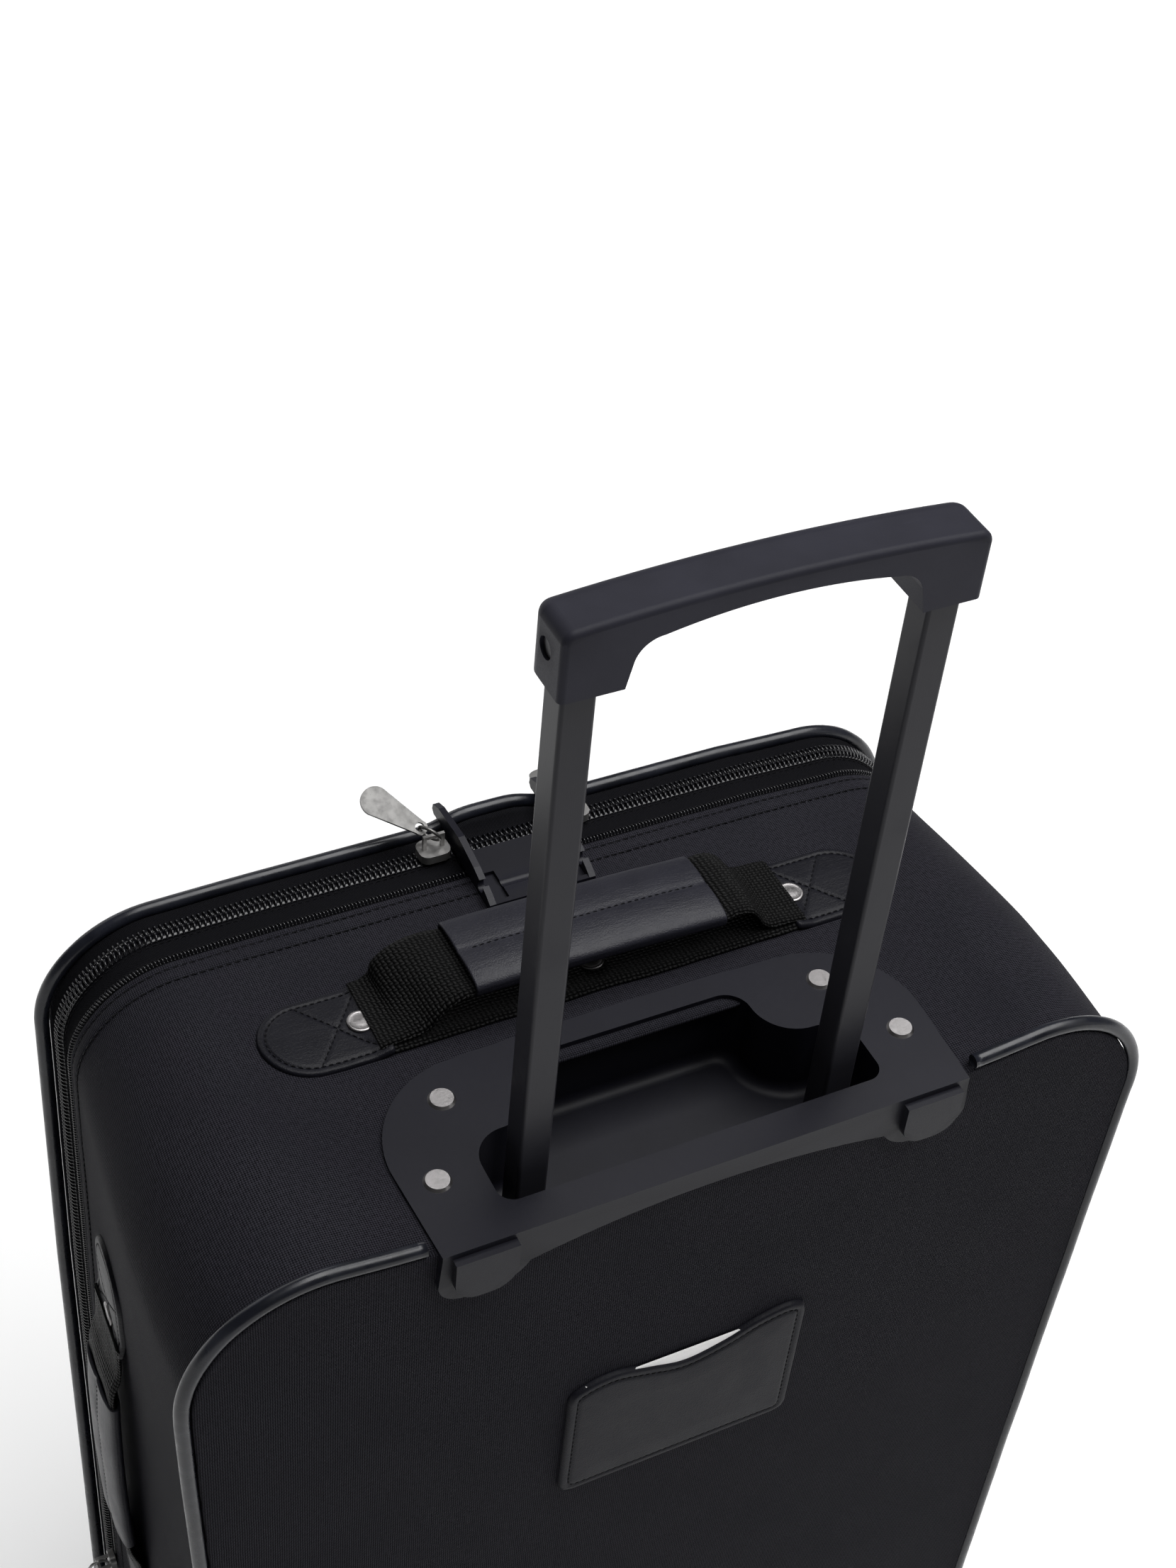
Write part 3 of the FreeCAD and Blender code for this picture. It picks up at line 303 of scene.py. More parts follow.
def belt_webbing(name):
    """Coarse basket-weave polypropylene webbing."""
    s = Shader(name)
    u, v = s.split(s.place())[:2]
    drift = s.math("MULTIPLY", s.noise(s.place(), 5.0, 2.0), 0.7)
    threads = s.weave(s.math("ADD", u, drift), s.math("ADD", v, drift), 1.75, 1.35, 0.62)
    fibre = s.noise(s.place(), 0.45, 3.0)
    height = s.math("ADD", threads, s.math("MULTIPLY", fibre, 0.18))
    # Base colour follows the weave height: painted shade between the threads, painted highlight on their
    # tops.
    base = s.mix(s.ramp(height, 0.35, 1.15), (0.0003, 0.0003, 0.0004), (0.009, 0.009, 0.009))
    return s.finish(base, s.ramp(fibre, 0.3, 0.7, 0.42, 0.62), s.bump(height, 0.62), Specular_IOR_Level=0.08)


def leathercloth(name, color, rough=0.42, creased=0.12, gloss=0.2):
    """Smooth coated cloth with a fine skin grain and soft scuffs."""
    s = Shader(name)
    where = s.place()
    grain = s.cells(where, 1.05, "DISTANCE_TO_EDGE")
    pores = s.noise(where, 0.5, 3.0)
    scuff = s.noise(where, 13.0, 5.0, 0.62)
    crease = s.noise(s.stretched(where, (0.24, 1.6, 1.0)), 2.4, 3.0)
    base = s.mix(s.ramp(scuff, 0.3, 0.75), shade(color, 0.9), shade(color, 1.1))
    normal = s.bump(s.ramp(grain, 0.0, 0.22), 0.035)
    normal = s.bump(crease, creased, below=normal)
    normal = s.bump(pores, 0.03, below=normal)
    return s.finish(base, s.ramp(scuff, 0.25, 0.75, rough - 0.02, rough + 0.05), normal,
                    Specular_IOR_Level=gloss)


def moulded(name, color, rough=0.46, grain=0.4, gloss=0.33):
    """Injection-moulded plastic: a fine spark-eroded texture, rubbed smoother on edges."""
    s = Shader(name, None)
    where = s.place()
    fine = s.noise(where, 0.36, 2.0)
    flow = s.noise(where, 22.0, 3.0)
    scratch = s.stretched(where, (0.04, 1.3, 1.3), (0.3, 0.5, 0.7))
    mark = s.ramp(s.noise(scratch, 1.5, 4.0, 0.7), 0.66, 0.72)
    edge = s.edges(0.51, 0.58)
    base = s.mix(s.ramp(flow, 0.3, 0.7), shade(color, 0.88), shade(color, 1.1))
    base = s.mix(s.math("MULTIPLY", edge, 0.35), base, shade(color, 2.0))
    base = s.mix(s.math("MULTIPLY", mark, 0.16), base, shade(color, 2.4))
    shine = s.math("SUBTRACT", s.ramp(fine, 0.2, 0.8, rough - 0.05, rough + 0.08),
                   s.math("MULTIPLY", edge, 0.1))
    return s.finish(base, shine, s.bump(fine, 0.05 * grain), Specular_IOR_Level=gloss)


def piping_vinyl(name):
    s = Shader(name)
    where = s.place()
    ripple = s.noise(where, 6.0, 2.0)
    fine = s.noise(where, 0.4, 2.0)
    base = s.mix(s.ramp(s.noise(where, 18.0, 3.0), 0.3, 0.7), (0.004, 0.0045, 0.007), (0.010, 0.011, 0.016))
    normal = s.bump(fine, 0.006, below=s.bump(ripple, 0.06))
    return s.finish(base, s.ramp(ripple, 0.3, 0.7, 0.24, 0.36), normal, Specular_IOR_Level=0.34)


def coil_nylon(name):
    s = Shader(name)
    where = s.place()
    fine = s.noise(where, 0.5, 2.0)
    base = s.mix(s.ramp(fine, 0.3, 0.7), (0.002, 0.002, 0.003), (0.006, 0.006, 0.008))
    return s.finish(base, s.ramp(fine, 0.3, 0.7, 0.16, 0.26), s.bump(fine, 0.02), Specular_IOR_Level=0.35,
                    Coat_Weight=0.15, Coat_Roughness=0.12)


def thread(name, color):
    """Twisted sewing thread."""
    s = Shader(name)
    u, v = s.split(s.place())[:2]
    twist = s.wave(s.math("ADD", u, s.math("MULTIPLY", v, 0.8)), 0.5)
    ply = s.math("ABSOLUTE", twist)
    # Base colour follows the ply ridges: painted shade in the grooves of the twist, painted highlight on the
    # ridges.
    base = s.mix(ply, shade(color, 0.4), shade(color, 1.4))
    return s.finish(base, 0.5, s.bump(ply, 0.12), Specular_IOR_Level=0.1)


def metal(name, color, rough, brushed, tarnish, metallic=1.0):
    """Nickel plate with a little handling haze."""
    s = Shader(name, None)
    where = s.place()
    haze = s.noise(where, 3.0, 4.0, 0.6)
    brush = s.noise(s.stretched(where, (0.15, 2.2, 2.2)), 0.35, 2.0)
    speck = s.ramp(s.cells(where, 1.9), 0.13, 0.05)
    base = s.mix(s.ramp(haze, 0.35, 0.75, 0.0, tarnish), color, shade(color, 0.45))
    base = s.mix(s.math("MULTIPLY", speck, 0.2), base, shade(color, 0.3))
    shine = s.ramp(haze, 0.3, 0.7, rough - 0.05, rough + 0.1)
    return s.finish(base, shine, s.bump(brush, 0.03 * brushed + 0.001), Metallic=metallic)


def lacquered_tube(name):
    """Satin black anodised tube with faint drawing lines and rub marks."""
    s = Shader(name, None)
    where = s.place()
    drawn = s.noise(s.stretched(where, (3.0, 3.0, 0.02)), 0.8, 2.0)
    rub = s.ramp(s.noise(where, 26.0, 5.0, 0.65), 0.5, 0.72)
    edge = s.edges(0.52, 0.6)
    base = s.mix(s.math("MULTIPLY", rub, 0.25), (0.002, 0.0018, 0.003), (0.0055, 0.005, 0.0075))
    base = s.mix(s.math("MULTIPLY", edge, 0.4), base, (0.04, 0.04, 0.048))
    return s.finish(base, s.ramp(rub, 0.0, 1.0, 0.34, 0.44), s.bump(drawn, 0.012), Specular_IOR_Level=0.17)


def paper(name, color, period=0.5):
    s = Shader(name, None)
    where = s.place()
    fibre = s.noise(where, period, 4.0, 0.6)
    base = s.mix(s.ramp(fibre, 0.3, 0.7), shade(color, 0.93), color)
    return s.finish(base, 0.8, s.bump(fibre, 0.03))


def lining_cloth(name):
    """Thin lining taffeta."""
    s = Shader(name)
    (u, v), where = cloth_place(s)
    threads = s.weave(u, v, 0.5, 0.42)
    wave = s.noise(where, 20.0, 3.0)
    # Base colour follows the weave height: painted shade between the threads, painted highlight on their
    # crowns.
    base = s.mix(s.ramp(threads, 0.2, 0.95), (0.05, 0.05, 0.055), (0.14, 0.14, 0.15))
    base = s.mix(s.ramp(wave, 0.3, 0.8, 0.0, 0.3), base, (0.08, 0.08, 0.088))
    return s.finish(base, 0.55, s.bump(threads, 0.08), Sheen_Weight=0.2, Sheen_Roughness=0.4)


def rubber(name, color):
    s = Shader(name, None)
    where = s.place()
    fine = s.noise(where, 0.7, 3.0)
    dust = s.ramp(s.noise(where, 9.0, 5.0, 0.7), 0.5, 0.75)
    base = s.mix(s.math("MULTIPLY", dust, 0.4), color, (0.09, 0.085, 0.08))
    return s.finish(base, s.ramp(fine, 0.3, 0.7, 0.5, 0.68), s.bump(fine, 0.06))


FABRIC = polyester("polyester")
FABRIC_SOLID = polyester("polyester_solid", solid=True)
TAPE = tape_cloth("zip_tape")
WEBBING = belt_webbing("webbing_weave")
LEATHER = leathercloth("leathercloth", (0.0048, 0.0048, 0.0072), gloss=0.12)
SLEEVE_LEATHER = leathercloth("sleeve_leathercloth", (0.0105, 0.0105, 0.0155), 0.4, 0.1)
SMOOTH_LEATHER = leathercloth("smooth_leathercloth", (0.0062, 0.0062, 0.0094), 0.5, 0.03, 0.12)
PIPING = piping_vinyl("piping_vinyl")
COIL = coil_nylon("coil_nylon")
THREAD = thread("thread_black", (0.0025, 0.0025, 0.0035))
PLASTIC = moulded("moulded_plastic", (0.005, 0.005, 0.0078), gloss=0.15)
GRIP = moulded("grip_plastic", (0.015, 0.015, 0.021), 0.5, 0.3, 0.09)
BRIGHT = metal("bright_nickel", (0.31, 0.305, 0.30), 0.34, 0.05, 0.1, 0.85)
# A darker copy of the bright nickel, for the left pull only: painted shade that keeps its reflection of the
# bright floor and lamps grey.
PAINTED_SHADE_NICKEL = metal("tab_nickel_painted_shade", (0.135, 0.133, 0.13), 0.4, 0.05, 0.3, 0.9)
NICKEL = metal("satin_nickel", (0.27, 0.26, 0.26), 0.33, 1.0, 0.5)
TUBE = lacquered_tube("lacquered_tube")
CARD = paper("card", (0.86, 0.85, 0.85))
BOARD = paper("grey_board", (0.30, 0.27, 0.23), 1.4)
LINING = lining_cloth("lining_cloth")
SCREW = metal("black_steel", (0.05, 0.05, 0.055), 0.35, 0.2, 0.5)
HUB = moulded("hub_nylon", (0.030, 0.030, 0.034), 0.5)
TYRE = rubber("tyre_rubber", (0.018, 0.018, 0.020))

# The CAD pieces that are shown as they are, by look.
CAD_LOOKS = (
    (PLASTIC, "handle_bezel lock_dock wheel_housing_left wheel_housing_right front_feet"),
    (PLASTIC, "tube_plugs tube_bracket"),
    (GRIP, "grip"),
    (TUBE, "inner_tube_left inner_tube_right outer_tube_left outer_tube_right"),
    (NICKEL, "bezel_rivets handle_rivets side_rivets axles"),
    (BRIGHT, "slider_left slider_right pull_right expander_slider expander_pull"),
    (BRIGHT, "lower_pocket_slider lower_pocket_pull upper_pocket_slider upper_pocket_pull"),
    # The left pull takes the darker painted-shade copy of the bright nickel.
    (PAINTED_SHADE_NICKEL, "pull_left"),
    (SCREW, "grip_screws"),
    (CARD, "id_card"),
    (BOARD, "base_board"),
    (HUB, "hub_left hub_right"),
    (TYRE, "tyre_left tyre_right"),
)


def dress_cad():
    for look, nodes in CAD_LOOKS:
        for node in nodes.split():
            for slot in NODES[node].material_slots:
                slot.material = look


# ---------------------------------------------------------------- mesh helpers


def lengths(line):
    """Distance along a polyline at each of its points."""
    return np.concatenate([[0], np.cumsum(np.linalg.norm(np.diff(line, axis=0), axis=1))])


def mesh_grid(u, v):
    return np.stack(np.meshgrid(u, v, indexing="ij"), -1)


def round_turn(sides):
    return np.linspace(0, 2 * math.pi, sides, endpoint=False)


class Soup:
    """Points in millimetres, faces and cloth coordinates gathered for one piece."""

    def __init__(self):
        self.points, self.faces, self.uvs = [], [], []

    def grid(self, points, uvs=None, close_a=False, close_b=False, skip=None):
        """A sheet of quads over points[a][b]; uvs has one more row or column where it closes on itself."""
        points = np.asarray(points, float)
        n, m = points.shape[:2]
        if uvs is None:
            uvs = unrolled(points, close_a, close_b)
        base = len(self.points)
        self.points.extend(points.reshape(-1, 3).tolist())
        for i in range(n if close_a else n - 1):
            for j in range(m if close_b else m - 1):
                far_i, far_j = (i + 1) % n, (j + 1) % m
                if skip is not None and skip(points[i, j]) and skip(points[far_i, far_j]):
                    continue
                row, far_row = base + i * m, base + far_i * m
                self.faces.append((row + j, far_row + j, far_row + far_j, row + far_j))
                self.uvs.append((uvs[i][j], uvs[i + 1][j], uvs[i + 1][j + 1], uvs[i][j + 1]))
        return base

    def cap(self, indices):
        self.faces.append(tuple(indices))
        self.uvs.append(tuple((self.points[k][0], self.points[k][2]) for k in indices))

    def shut(self, base, rows, columns, column, flip=False):
        """Closes a grid that goes round on itself, across one of its columns."""
        self.cap([base + i * columns + column for i in range(rows)][::-1 if flip else 1])

    def tube(self, points, uvs=None):
        """A closed skin round points[a][b], b going round, with both ends capped."""
        points = np.asarray(points, float)
        n, m = points.shape[:2]
        base = self.grid(points, uvs, close_b=True)
        self.cap([base + j for j in range(m)][::-1])
        self.cap([base + (n - 1) * m + j for j in range(m)])

    def piece(self, name, material, body=None, replaces=(), recalc=False):
        mesh = bpy.data.meshes.new(name)
        mesh.from_pydata([tuple(v * MM for v in p) for p in self.points], [], self.faces)
        layer = mesh.uv_layers.new(name="cloth")
        layer.data.foreach_set("uv", [c for face in self.uvs for corner in face for c in corner])
        mesh.materials.append(material)
        mesh.validate()
        if recalc:
            work = bmesh.new()
            work.from_mesh(mesh)
            bmesh.ops.recalc_face_normals(work, faces=work.faces)
            work.to_mesh(mesh)
            work.free()
        mesh.polygons.foreach_set("use_smooth", [True] * len(mesh.polygons))
        made = bpy.data.objects.new(name, mesh)
        bpy.context.scene.collection.objects.link(made)
        if body:
            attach(made, body)
        if replaces:
            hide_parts(*replaces)
        return made


def unrolled(points, close_a=False, close_b=False):
    """Cloth coordinates by distance along the middle row and column."""
    n, m = points.shape[:2]
    row = np.concatenate([points[:, m // 2], points[:1, m // 2]]) if close_a else points[:, m // 2]
    column = np.concatenate([points[n // 2], points[n // 2, :1]]) if close_b else points[n // 2]
    return mesh_grid(lengths(row), lengths(column))


def thicken(made, thickness):
    solid = made.modifiers.new("thickness", "SOLIDIFY")
    solid.thickness, solid.offset = thickness * MM, -1.0
    solid.use_rim = True
    return made


def wrinkle(points, size, amount, seed=0):
    """Smooth seeded noise, in millimetres, one value per point."""
    flat = np.asarray(points, float).reshape(-1, 3)
    shift = Vector((seed * 17.3, seed * 5.1, seed * 9.7))
    values = [noise.noise(Vector(p) / size + shift) for p in flat]
    return amount * np.array(values).reshape(np.shape(points)[:-1])


def normals_2d(line, closed):
    """Left-hand normals of a plane polyline."""
    if closed:
        ahead, behind = np.roll(line, -1, 0), np.roll(line, 1, 0)
    else:
        ahead = np.concatenate([line[1:], line[-1:]])
        behind = np.concatenate([line[:1], line[:-1]])
    run = ahead - behind
    run /= np.maximum(np.linalg.norm(run, axis=1, keepdims=True), 1e-9)
    return np.stack([-run[:, 1], run[:, 0]], 1)


def resample(line, step, closed=False):
    """The same polyline with evenly spaced points."""
    line = np.asarray(line, float)
    if closed:
        line = np.concatenate([line, line[:1]])
    length = lengths(line)
    count = max(2, round(length[-1] / step))
    at = np.linspace(0, length[-1], count + 1)
    if closed:
        at = at[:-1]
    return np.stack([np.interp(at, length, line[:, k]) for k in range(line.shape[1])], 1)


STRAND_SIDES = 6


def strands(soup, paths, side, radius):
    """Round strands along paths[k][l], all at once; side is a vector across each path point."""
    paths = np.asarray(paths, float)
    side = np.broadcast_to(np.asarray(side, float), paths.shape)
    run = np.gradient(paths, axis=1)
    run /= np.maximum(np.linalg.norm(run, axis=2, keepdims=True), 1e-9)
    side = side - (side * run).sum(2, keepdims=True) * run
    side /= np.maximum(np.linalg.norm(side, axis=2, keepdims=True), 1e-9)
    up = np.cross(run, side)
    radius = np.broadcast_to(np.asarray(radius, float), paths.shape[1:2])[None, :, None, None]
    turn = np.linspace(2 * math.pi, 0, STRAND_SIDES, endpoint=False)[None, None, :, None]
    skin = paths[:, :, None] + radius * (np.cos(turn) * side[:, :, None] + np.sin(turn) * up[:, :, None])
    for strand in skin:
        soup.tube(strand)


STITCH_RISE = [-0.35, 0.12, 0.24, 0.12, -0.35]
STITCH_END_R = 0.16


def stitches(soup, line, up, pitch=3.0, thread_r=0.27, length=0.8):
    """Sewing thread that dips into the cloth between stitches. up is the cloth's normal along the line."""
    line = resample(line, pitch)
    up = np.asarray(up, float)
    up = np.broadcast_to(up, (2, 3)) if up.ndim == 1 else up
    here, known = np.linspace(0, 1, len(line)), np.linspace(0, 1, len(up))
    normal = np.stack([np.interp(here, known, up[:, k]) for k in range(3)], 1)
    start, end = line[:-1], line[1:]
    share = np.linspace((1 - length) / 2, (1 + length) / 2, len(STITCH_RISE))
    rise = np.array(STITCH_RISE)
    paths = start[:, None] + (end - start)[:, None] * share[None, :, None]
    paths = paths + normal[:-1, None] * (rise * thread_r / 0.27)[None, :, None]
    side = np.cross(end - start, normal[:-1])[:, None]
    strands(soup, paths, side, [STITCH_END_R, thread_r, thread_r, thread_r, STITCH_END_R])


# ---------------------------------------------------------------- the case outline

HALF, LOW, HIGH, CORNER = 172.0, 38.0, 518.0, 40.0
HEM_Y, REAR_Y, COIL_Y = -46.0, 104.0, -61.0
# Inside these lines the outline is straight.
CORE_X, CORE_LOW, CORE_HIGH = HALF - CORNER, LOW + CORNER, HIGH - CORNER
ZIP_END_Z = 98.0


def rim(step=3.0, half=HALF, low=LOW, high=HIGH, corner=CORNER, open_from=None):
    """Points and outward normals (x, z, nx, nz) round a panel outline.

    It starts at the bottom middle and goes by +X, or runs from open_from up and down again.
    """
    x, z = half - corner, high - corner
    marks = []

    def straight(start, end, normal):
        count = max(1, round(math.dist(start, end) / step))
        for k in range(count):
            share = k / count
            marks.append((start[0] + (end[0] - start[0]) * share, start[1] + (end[1] - start[1]) * share,
                          *normal))

    def bend(centre, from_turn):
        count = max(8, round(corner * math.pi / 2 / min(step, 2.4)))
        for k in range(count):
            turn = math.radians(from_turn + 90 * k / count)
            normal = (math.cos(turn), math.sin(turn))
            marks.append((centre[0] + corner * normal[0], centre[1] + corner * normal[1], *normal))

    foot = low + corner if open_from is None else open_from
    if open_from is None:
        straight((0, low), (x, low), (0, -1))
        bend((x, low + corner), -90)
    straight((half, foot), (half, z), (1, 0))
    bend((x, z), 0)
    straight((x, high), (-x, high), (0, 1))
    bend((-x, z), 90)
    straight((-half, z), (-half, foot), (-1, 0))
    if open_from is None:
        bend((-x, low + corner), 180)
        straight((-x, low), (0, low), (0, -1))
    else:
        marks.append((-half, foot, -1, 0))
    return np.array(marks)


def outward(ring):
    return np.stack([ring[:, 2], 0 * ring[:, 2], ring[:, 3]], 1)


def band(ring, profile):
    """Points over a ring for a profile of (out, y) pairs."""
    profile = np.asarray(profile, float)
    out, y = profile[:, 0], profile[:, 1]
    x = ring[:, 0, None] + ring[:, 2, None] * out
    z = ring[:, 1, None] + ring[:, 3, None] * out
    return np.stack([x, np.broadcast_to(y, x.shape), z], -1)


def ring_uv(ring, profile, close_a):
    line = np.concatenate([ring[:, :2], ring[:1, :2]]) if close_a else ring[:, :2]
    return mesh_grid(lengths(line), lengths(np.asarray(profile, float)))


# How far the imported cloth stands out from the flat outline, by the distance along it from the top middle.
RUN = [0, 96, 112, 130, 163, 200, 235, 330, 420, 640]
REAR_LEFT = [0, 0.5, 2.0, 4.0, 6.0, 6.6, 5.6, 1.6, 0.6, 0]
REAR_RIGHT = [0, 0.5, 2.0, 4.0, 3.6, 2.2, 1.8, 1.0, 0.5, 0]
FRONT_LEFT = [0, 0, -0.2, -0.6, -1.6, -1.4, -1.0, 0, 0, 0]
FRONT_RIGHT = [0, 0, -0.8, -1.6, -2.4, -1.4, -1.0, 0, 0, 0]
MIDDLE = [0, 0, 0.8, 2.4, 4.2, 3.2, 2.4, 1.2, 0.6, 0]


def slump(points):
    """Sets points on the case out by its soft fullness near the upper corners."""
    points = np.array(points, float)
    x, y, z = points[..., 0], points[..., 1], points[..., 2]
    near_x, near_z = np.clip(x, -CORE_X, CORE_X), np.minimum(z, CORE_HIGH)
    dx, dz = x - near_x, z - near_z
    away = np.maximum(np.hypot(dx, dz), 1e-6)
    turn = np.arctan2(np.abs(dx), np.maximum(dz, 1e-9))
    turn = np.where(away < 1e-3, 0, turn)
    run = np.abs(near_x) + CORNER * turn + (CORE_HIGH - near_z)
    share = np.clip((y - HEM_Y) / (REAR_Y - HEM_Y), 0, 1)
    ease = share * share * (3 - 2 * share)
    rear = np.where(x > 0, np.interp(run, RUN, REAR_LEFT), np.interp(run, RUN, REAR_RIGHT))
    front = np.where(x > 0, np.interp(run, RUN, FRONT_LEFT), np.interp(run, RUN, FRONT_RIGHT))
    out = rear * ease + front * (1 - ease) + np.interp(run, RUN, MIDDLE) * np.sin(math.pi * share)
    points[..., 0] += out * dx / away
    points[..., 2] += out * dz / away
    return points


# ---------------------------------------------------------------- case shell


def fabric_relief(points, seed=1):
    """Adds the slight waviness of cloth over board, outwards from the case's middle line."""
    x, z = points[..., 0], points[..., 2]
    wave = wrinkle(points, 55, 0.5, seed) + wrinkle(points, 17, 0.16, seed + 3)
    handles = np.minimum(np.abs(points[..., 1] - 4) / 32, 1) ** 2
    wave = wave * handles - 0.15 * (1 - handles)
    dx, dz = x - np.clip(x, -CORE_X, CORE_X), z - np.clip(z, CORE_LOW, CORE_HIGH)
    away = np.maximum(np.hypot(dx, dz), 1e-6)
    points[..., 0] += wave * dx / away
    points[..., 2] += wave * dz / away
    return points


def by_wheel(x, z):
    return 99 < abs(x) < 145 and z < 62


def make_gusset():
    back = [(0.0, y) for y in np.arange(101.5, -33, -4.0)]
    hem = [(0.02, -35.6), (0.05, -36.5), (-0.3, -37.0), (0.3, -37.5), (0.55, -38.6), (0.6, -40.2),
           (0.5, -42.4), (-0.15, -43.0), (0.5, -43.6), (0.6, -44.6), (0.35, -45.7), (-0.25, -46.0)]
    profile = back + hem
    ring = rim(3.0)
    points = fabric_relief(slump(band(ring, profile)))
    soup = Soup()

    def hidden(point):
        x, y, z = point
        cup = abs(x) < 80 and y > 42 and z > 500
        return cup or (y > 52 and by_wheel(x, z))

    soup.grid(points, ring_uv(ring, profile, True), close_a=True, skip=hidden)
    made = soup.piece("gusset_cloth", FABRIC, "case", ["gusset"])
    thicken(made, 2.2)
    threads = Soup()
    for y in (-37.0, -43.0):
        line = slump(band(ring, [(0.1, y)]))[:, 0]
        stitches(threads, np.concatenate([line, line[:1]]), outward(ring), pitch=3.1)
    threads.piece("hem_stitching", THREAD, "case")


DOCK_LIFT, DOCK_X, DOCK_HALF = 4.6, 2, 19.0


def lift_front(points, shares=1.0):
    """The front piping rides up between the dock's cheeks; its neighbours follow by their shares."""
    lift = DOCK_LIFT * np.exp(-((points[..., 0] - DOCK_X) / DOCK_HALF) ** 4)
    points[..., 2] += np.where(points[..., 2] > 440, lift * shares, 0)
    return points


def make_tapes():
    ring = rim(3.0, open_from=ZIP_END_Z)
    tapes = (
        ("zip_tape_case", "case", "zip_tape_body",
         [(-0.9, -46.0), (-1.0, -47.0), (-1.15, -49.4), (-1.4, -52.0), (-1.5, -54.6), (-1.2, -56.6),
          (-0.7, -57.9)]),
        ("zip_tape_front", "lid", "zip_tape_lid",
         [(-0.7, -64.1), (-1.1, -65.3), (-1.4, -66.8), (-1.2, -68.6), (-0.4, -70.0)]),
    )
    for name, body, node, profile in tapes:
        points = slump(band(ring, profile))
        if body == "lid":
            points = lift_front(points, np.array([0, 0.12, 0.4, 0.8, 1.0]))
        points = points + outward(ring)[:, None] * wrinkle(points, 14, 0.18, 5)[..., None]
        soup = Soup()
        soup.grid(points, ring_uv(ring, profile, False))
        thicken(soup.piece(name, TAPE, body, [node]), 0.7)


def along_ring(ring, pitch, phase):
    """Evenly spaced points and normals along an open ring."""
    length = lengths(ring[:, :2])
    at = np.arange(pitch / 2 + phase, length[-1], pitch)
    x, z = (np.interp(at, length, ring[:, k]) for k in (0, 1))
    nx, nz = (np.interp(at, length, ring[:, k]) for k in (2, 3))
    size = np.hypot(nx, nz)
    return np.stack([x, 0 * x, z], 1), np.stack([nx / size, 0 * nx, nz / size], 1)


def coil_teeth(soup, ring, rows, pitch, phase, wire, slant):
    """Coil loops across the zip: rows lists (out, y) along one loop."""
    base, normal = along_ring(ring, pitch, phase)
    run = np.cross(normal, (0, 1, 0))
    rows = np.array(rows, float)
    paths = base[:, None] + normal[:, None] * rows[None, :, :1]
    paths[..., 1] = rows[None, :, 1]
    lean = np.linspace(-slant / 2, slant / 2, len(rows))
    paths = slump(paths) + run[:, None] * lean[None, :, None]
    strands(soup, paths, run[:, None], wire)


# One half of a zip in section, by height over the cloth and distance from the coil's middle.
TOOTH = [(-0.5, 3.1), (0.35, 3.0), (0.85, 2.2), (0.75, 1.0), (0.5, 0.2), (-0.25, 0.1)]
COIL_BED = [(-0.9, 3.3), (-0.25, 3.2), (-0.3, 0.3), (-0.9, 0.2)]


def make_coils():
    ring = rim(3.0, open_from=ZIP_END_Z)
    pitch = 2.0
    for name, body, node, sign, phase in (("zip_coil_case", "case", "zip_coil_body", 1, 0.0),
                                          ("zip_coil_front", "lid", "zip_coil_lid", -1, pitch / 2)):
        rows, bed = ([(out, COIL_Y + sign * away) for out, away in shape] for shape in (TOOTH, COIL_BED))
        soup = Soup()
        coil_teeth(soup, ring, rows, pitch, phase, [0.4, 0.42, 0.45, 0.5, 0.62, 0.5], 0.8)
        soup.tube(slump(band(ring, bed)))
        soup.piece(name, COIL, body, [node])
    soup = Soup()
    rows = [(-0.5, -48.75), (0.35, -48.5), (0.62, -48.0), (0.35, -47.5), (-0.5, -47.25)]
    coil_teeth(soup, ring, rows, 1.35, 0.0, [0.3, 0.36, 0.4, 0.36, 0.3], 0.5)
    soup.piece("expander_teeth", COIL, "case", ["expander_coil"])
    seams = Soup()
    for y in (-56.9, -50.2):
        stitches(seams, slump(band(ring, [(-1.0, y)]))[:, 0], outward(ring), pitch=2.7, thread_r=0.2)
    seams.piece("tape_stitching", THREAD, "case")


def cord_profile(y, out, radius):
    return [(out + radius * math.cos(t), y - radius * math.sin(t)) for t in round_turn(14)]


CORD_STEP = 2.6


def make_rear_piping():
    ring = rim(CORD_STEP)
    profile = cord_profile(102.0, 2.6, 2.55)
    points = slump(band(ring, profile))
    points[..., 1] += wrinkle(points[:, :1], 40, 0.3, 2)
    keep = [i for i, (x, z) in enumerate(ring[:, :2])
            if not (abs(x) < 99.6 and z > 500) and not by_wheel(x, z)]
    soup = Soup()
    runs, start = [], keep[0]
    for a, b in zip(keep, keep[1:] + [None]):
        if b != a + 1:
            runs.append((start, a))
            start = b
    if runs[0][0] == 0 and runs[-1][1] == len(ring) - 1:
        first = runs.pop(0)
        runs[-1] = (runs[-1][0], first[1] + len(ring))
    uv = ring_uv(ring, profile + profile[:1], True)
    total = len(ring)
    for first, last in runs:
        index = [k % total for k in range(first, last + 1)]
        soup.tube(points[index], np.array([uv[0] + [k * CORD_STEP, 0] for k in range(len(index))]))
    soup.piece("rear_cord", PIPING, "case", ["rear_piping"])


LID_HIGH = 515.0


def make_lid_piping():
    ring = rim(CORD_STEP, high=LID_HIGH)
    profile = cord_profile(-73.4, 2.8, 2.7)
    points = lift_front(slump(band(ring, profile)))
    soup = Soup()
    soup.grid(points, ring_uv(ring, profile + profile[:1], True), close_a=True, close_b=True)
    soup.piece("front_cord", PIPING, "lid", ["lid_piping"])


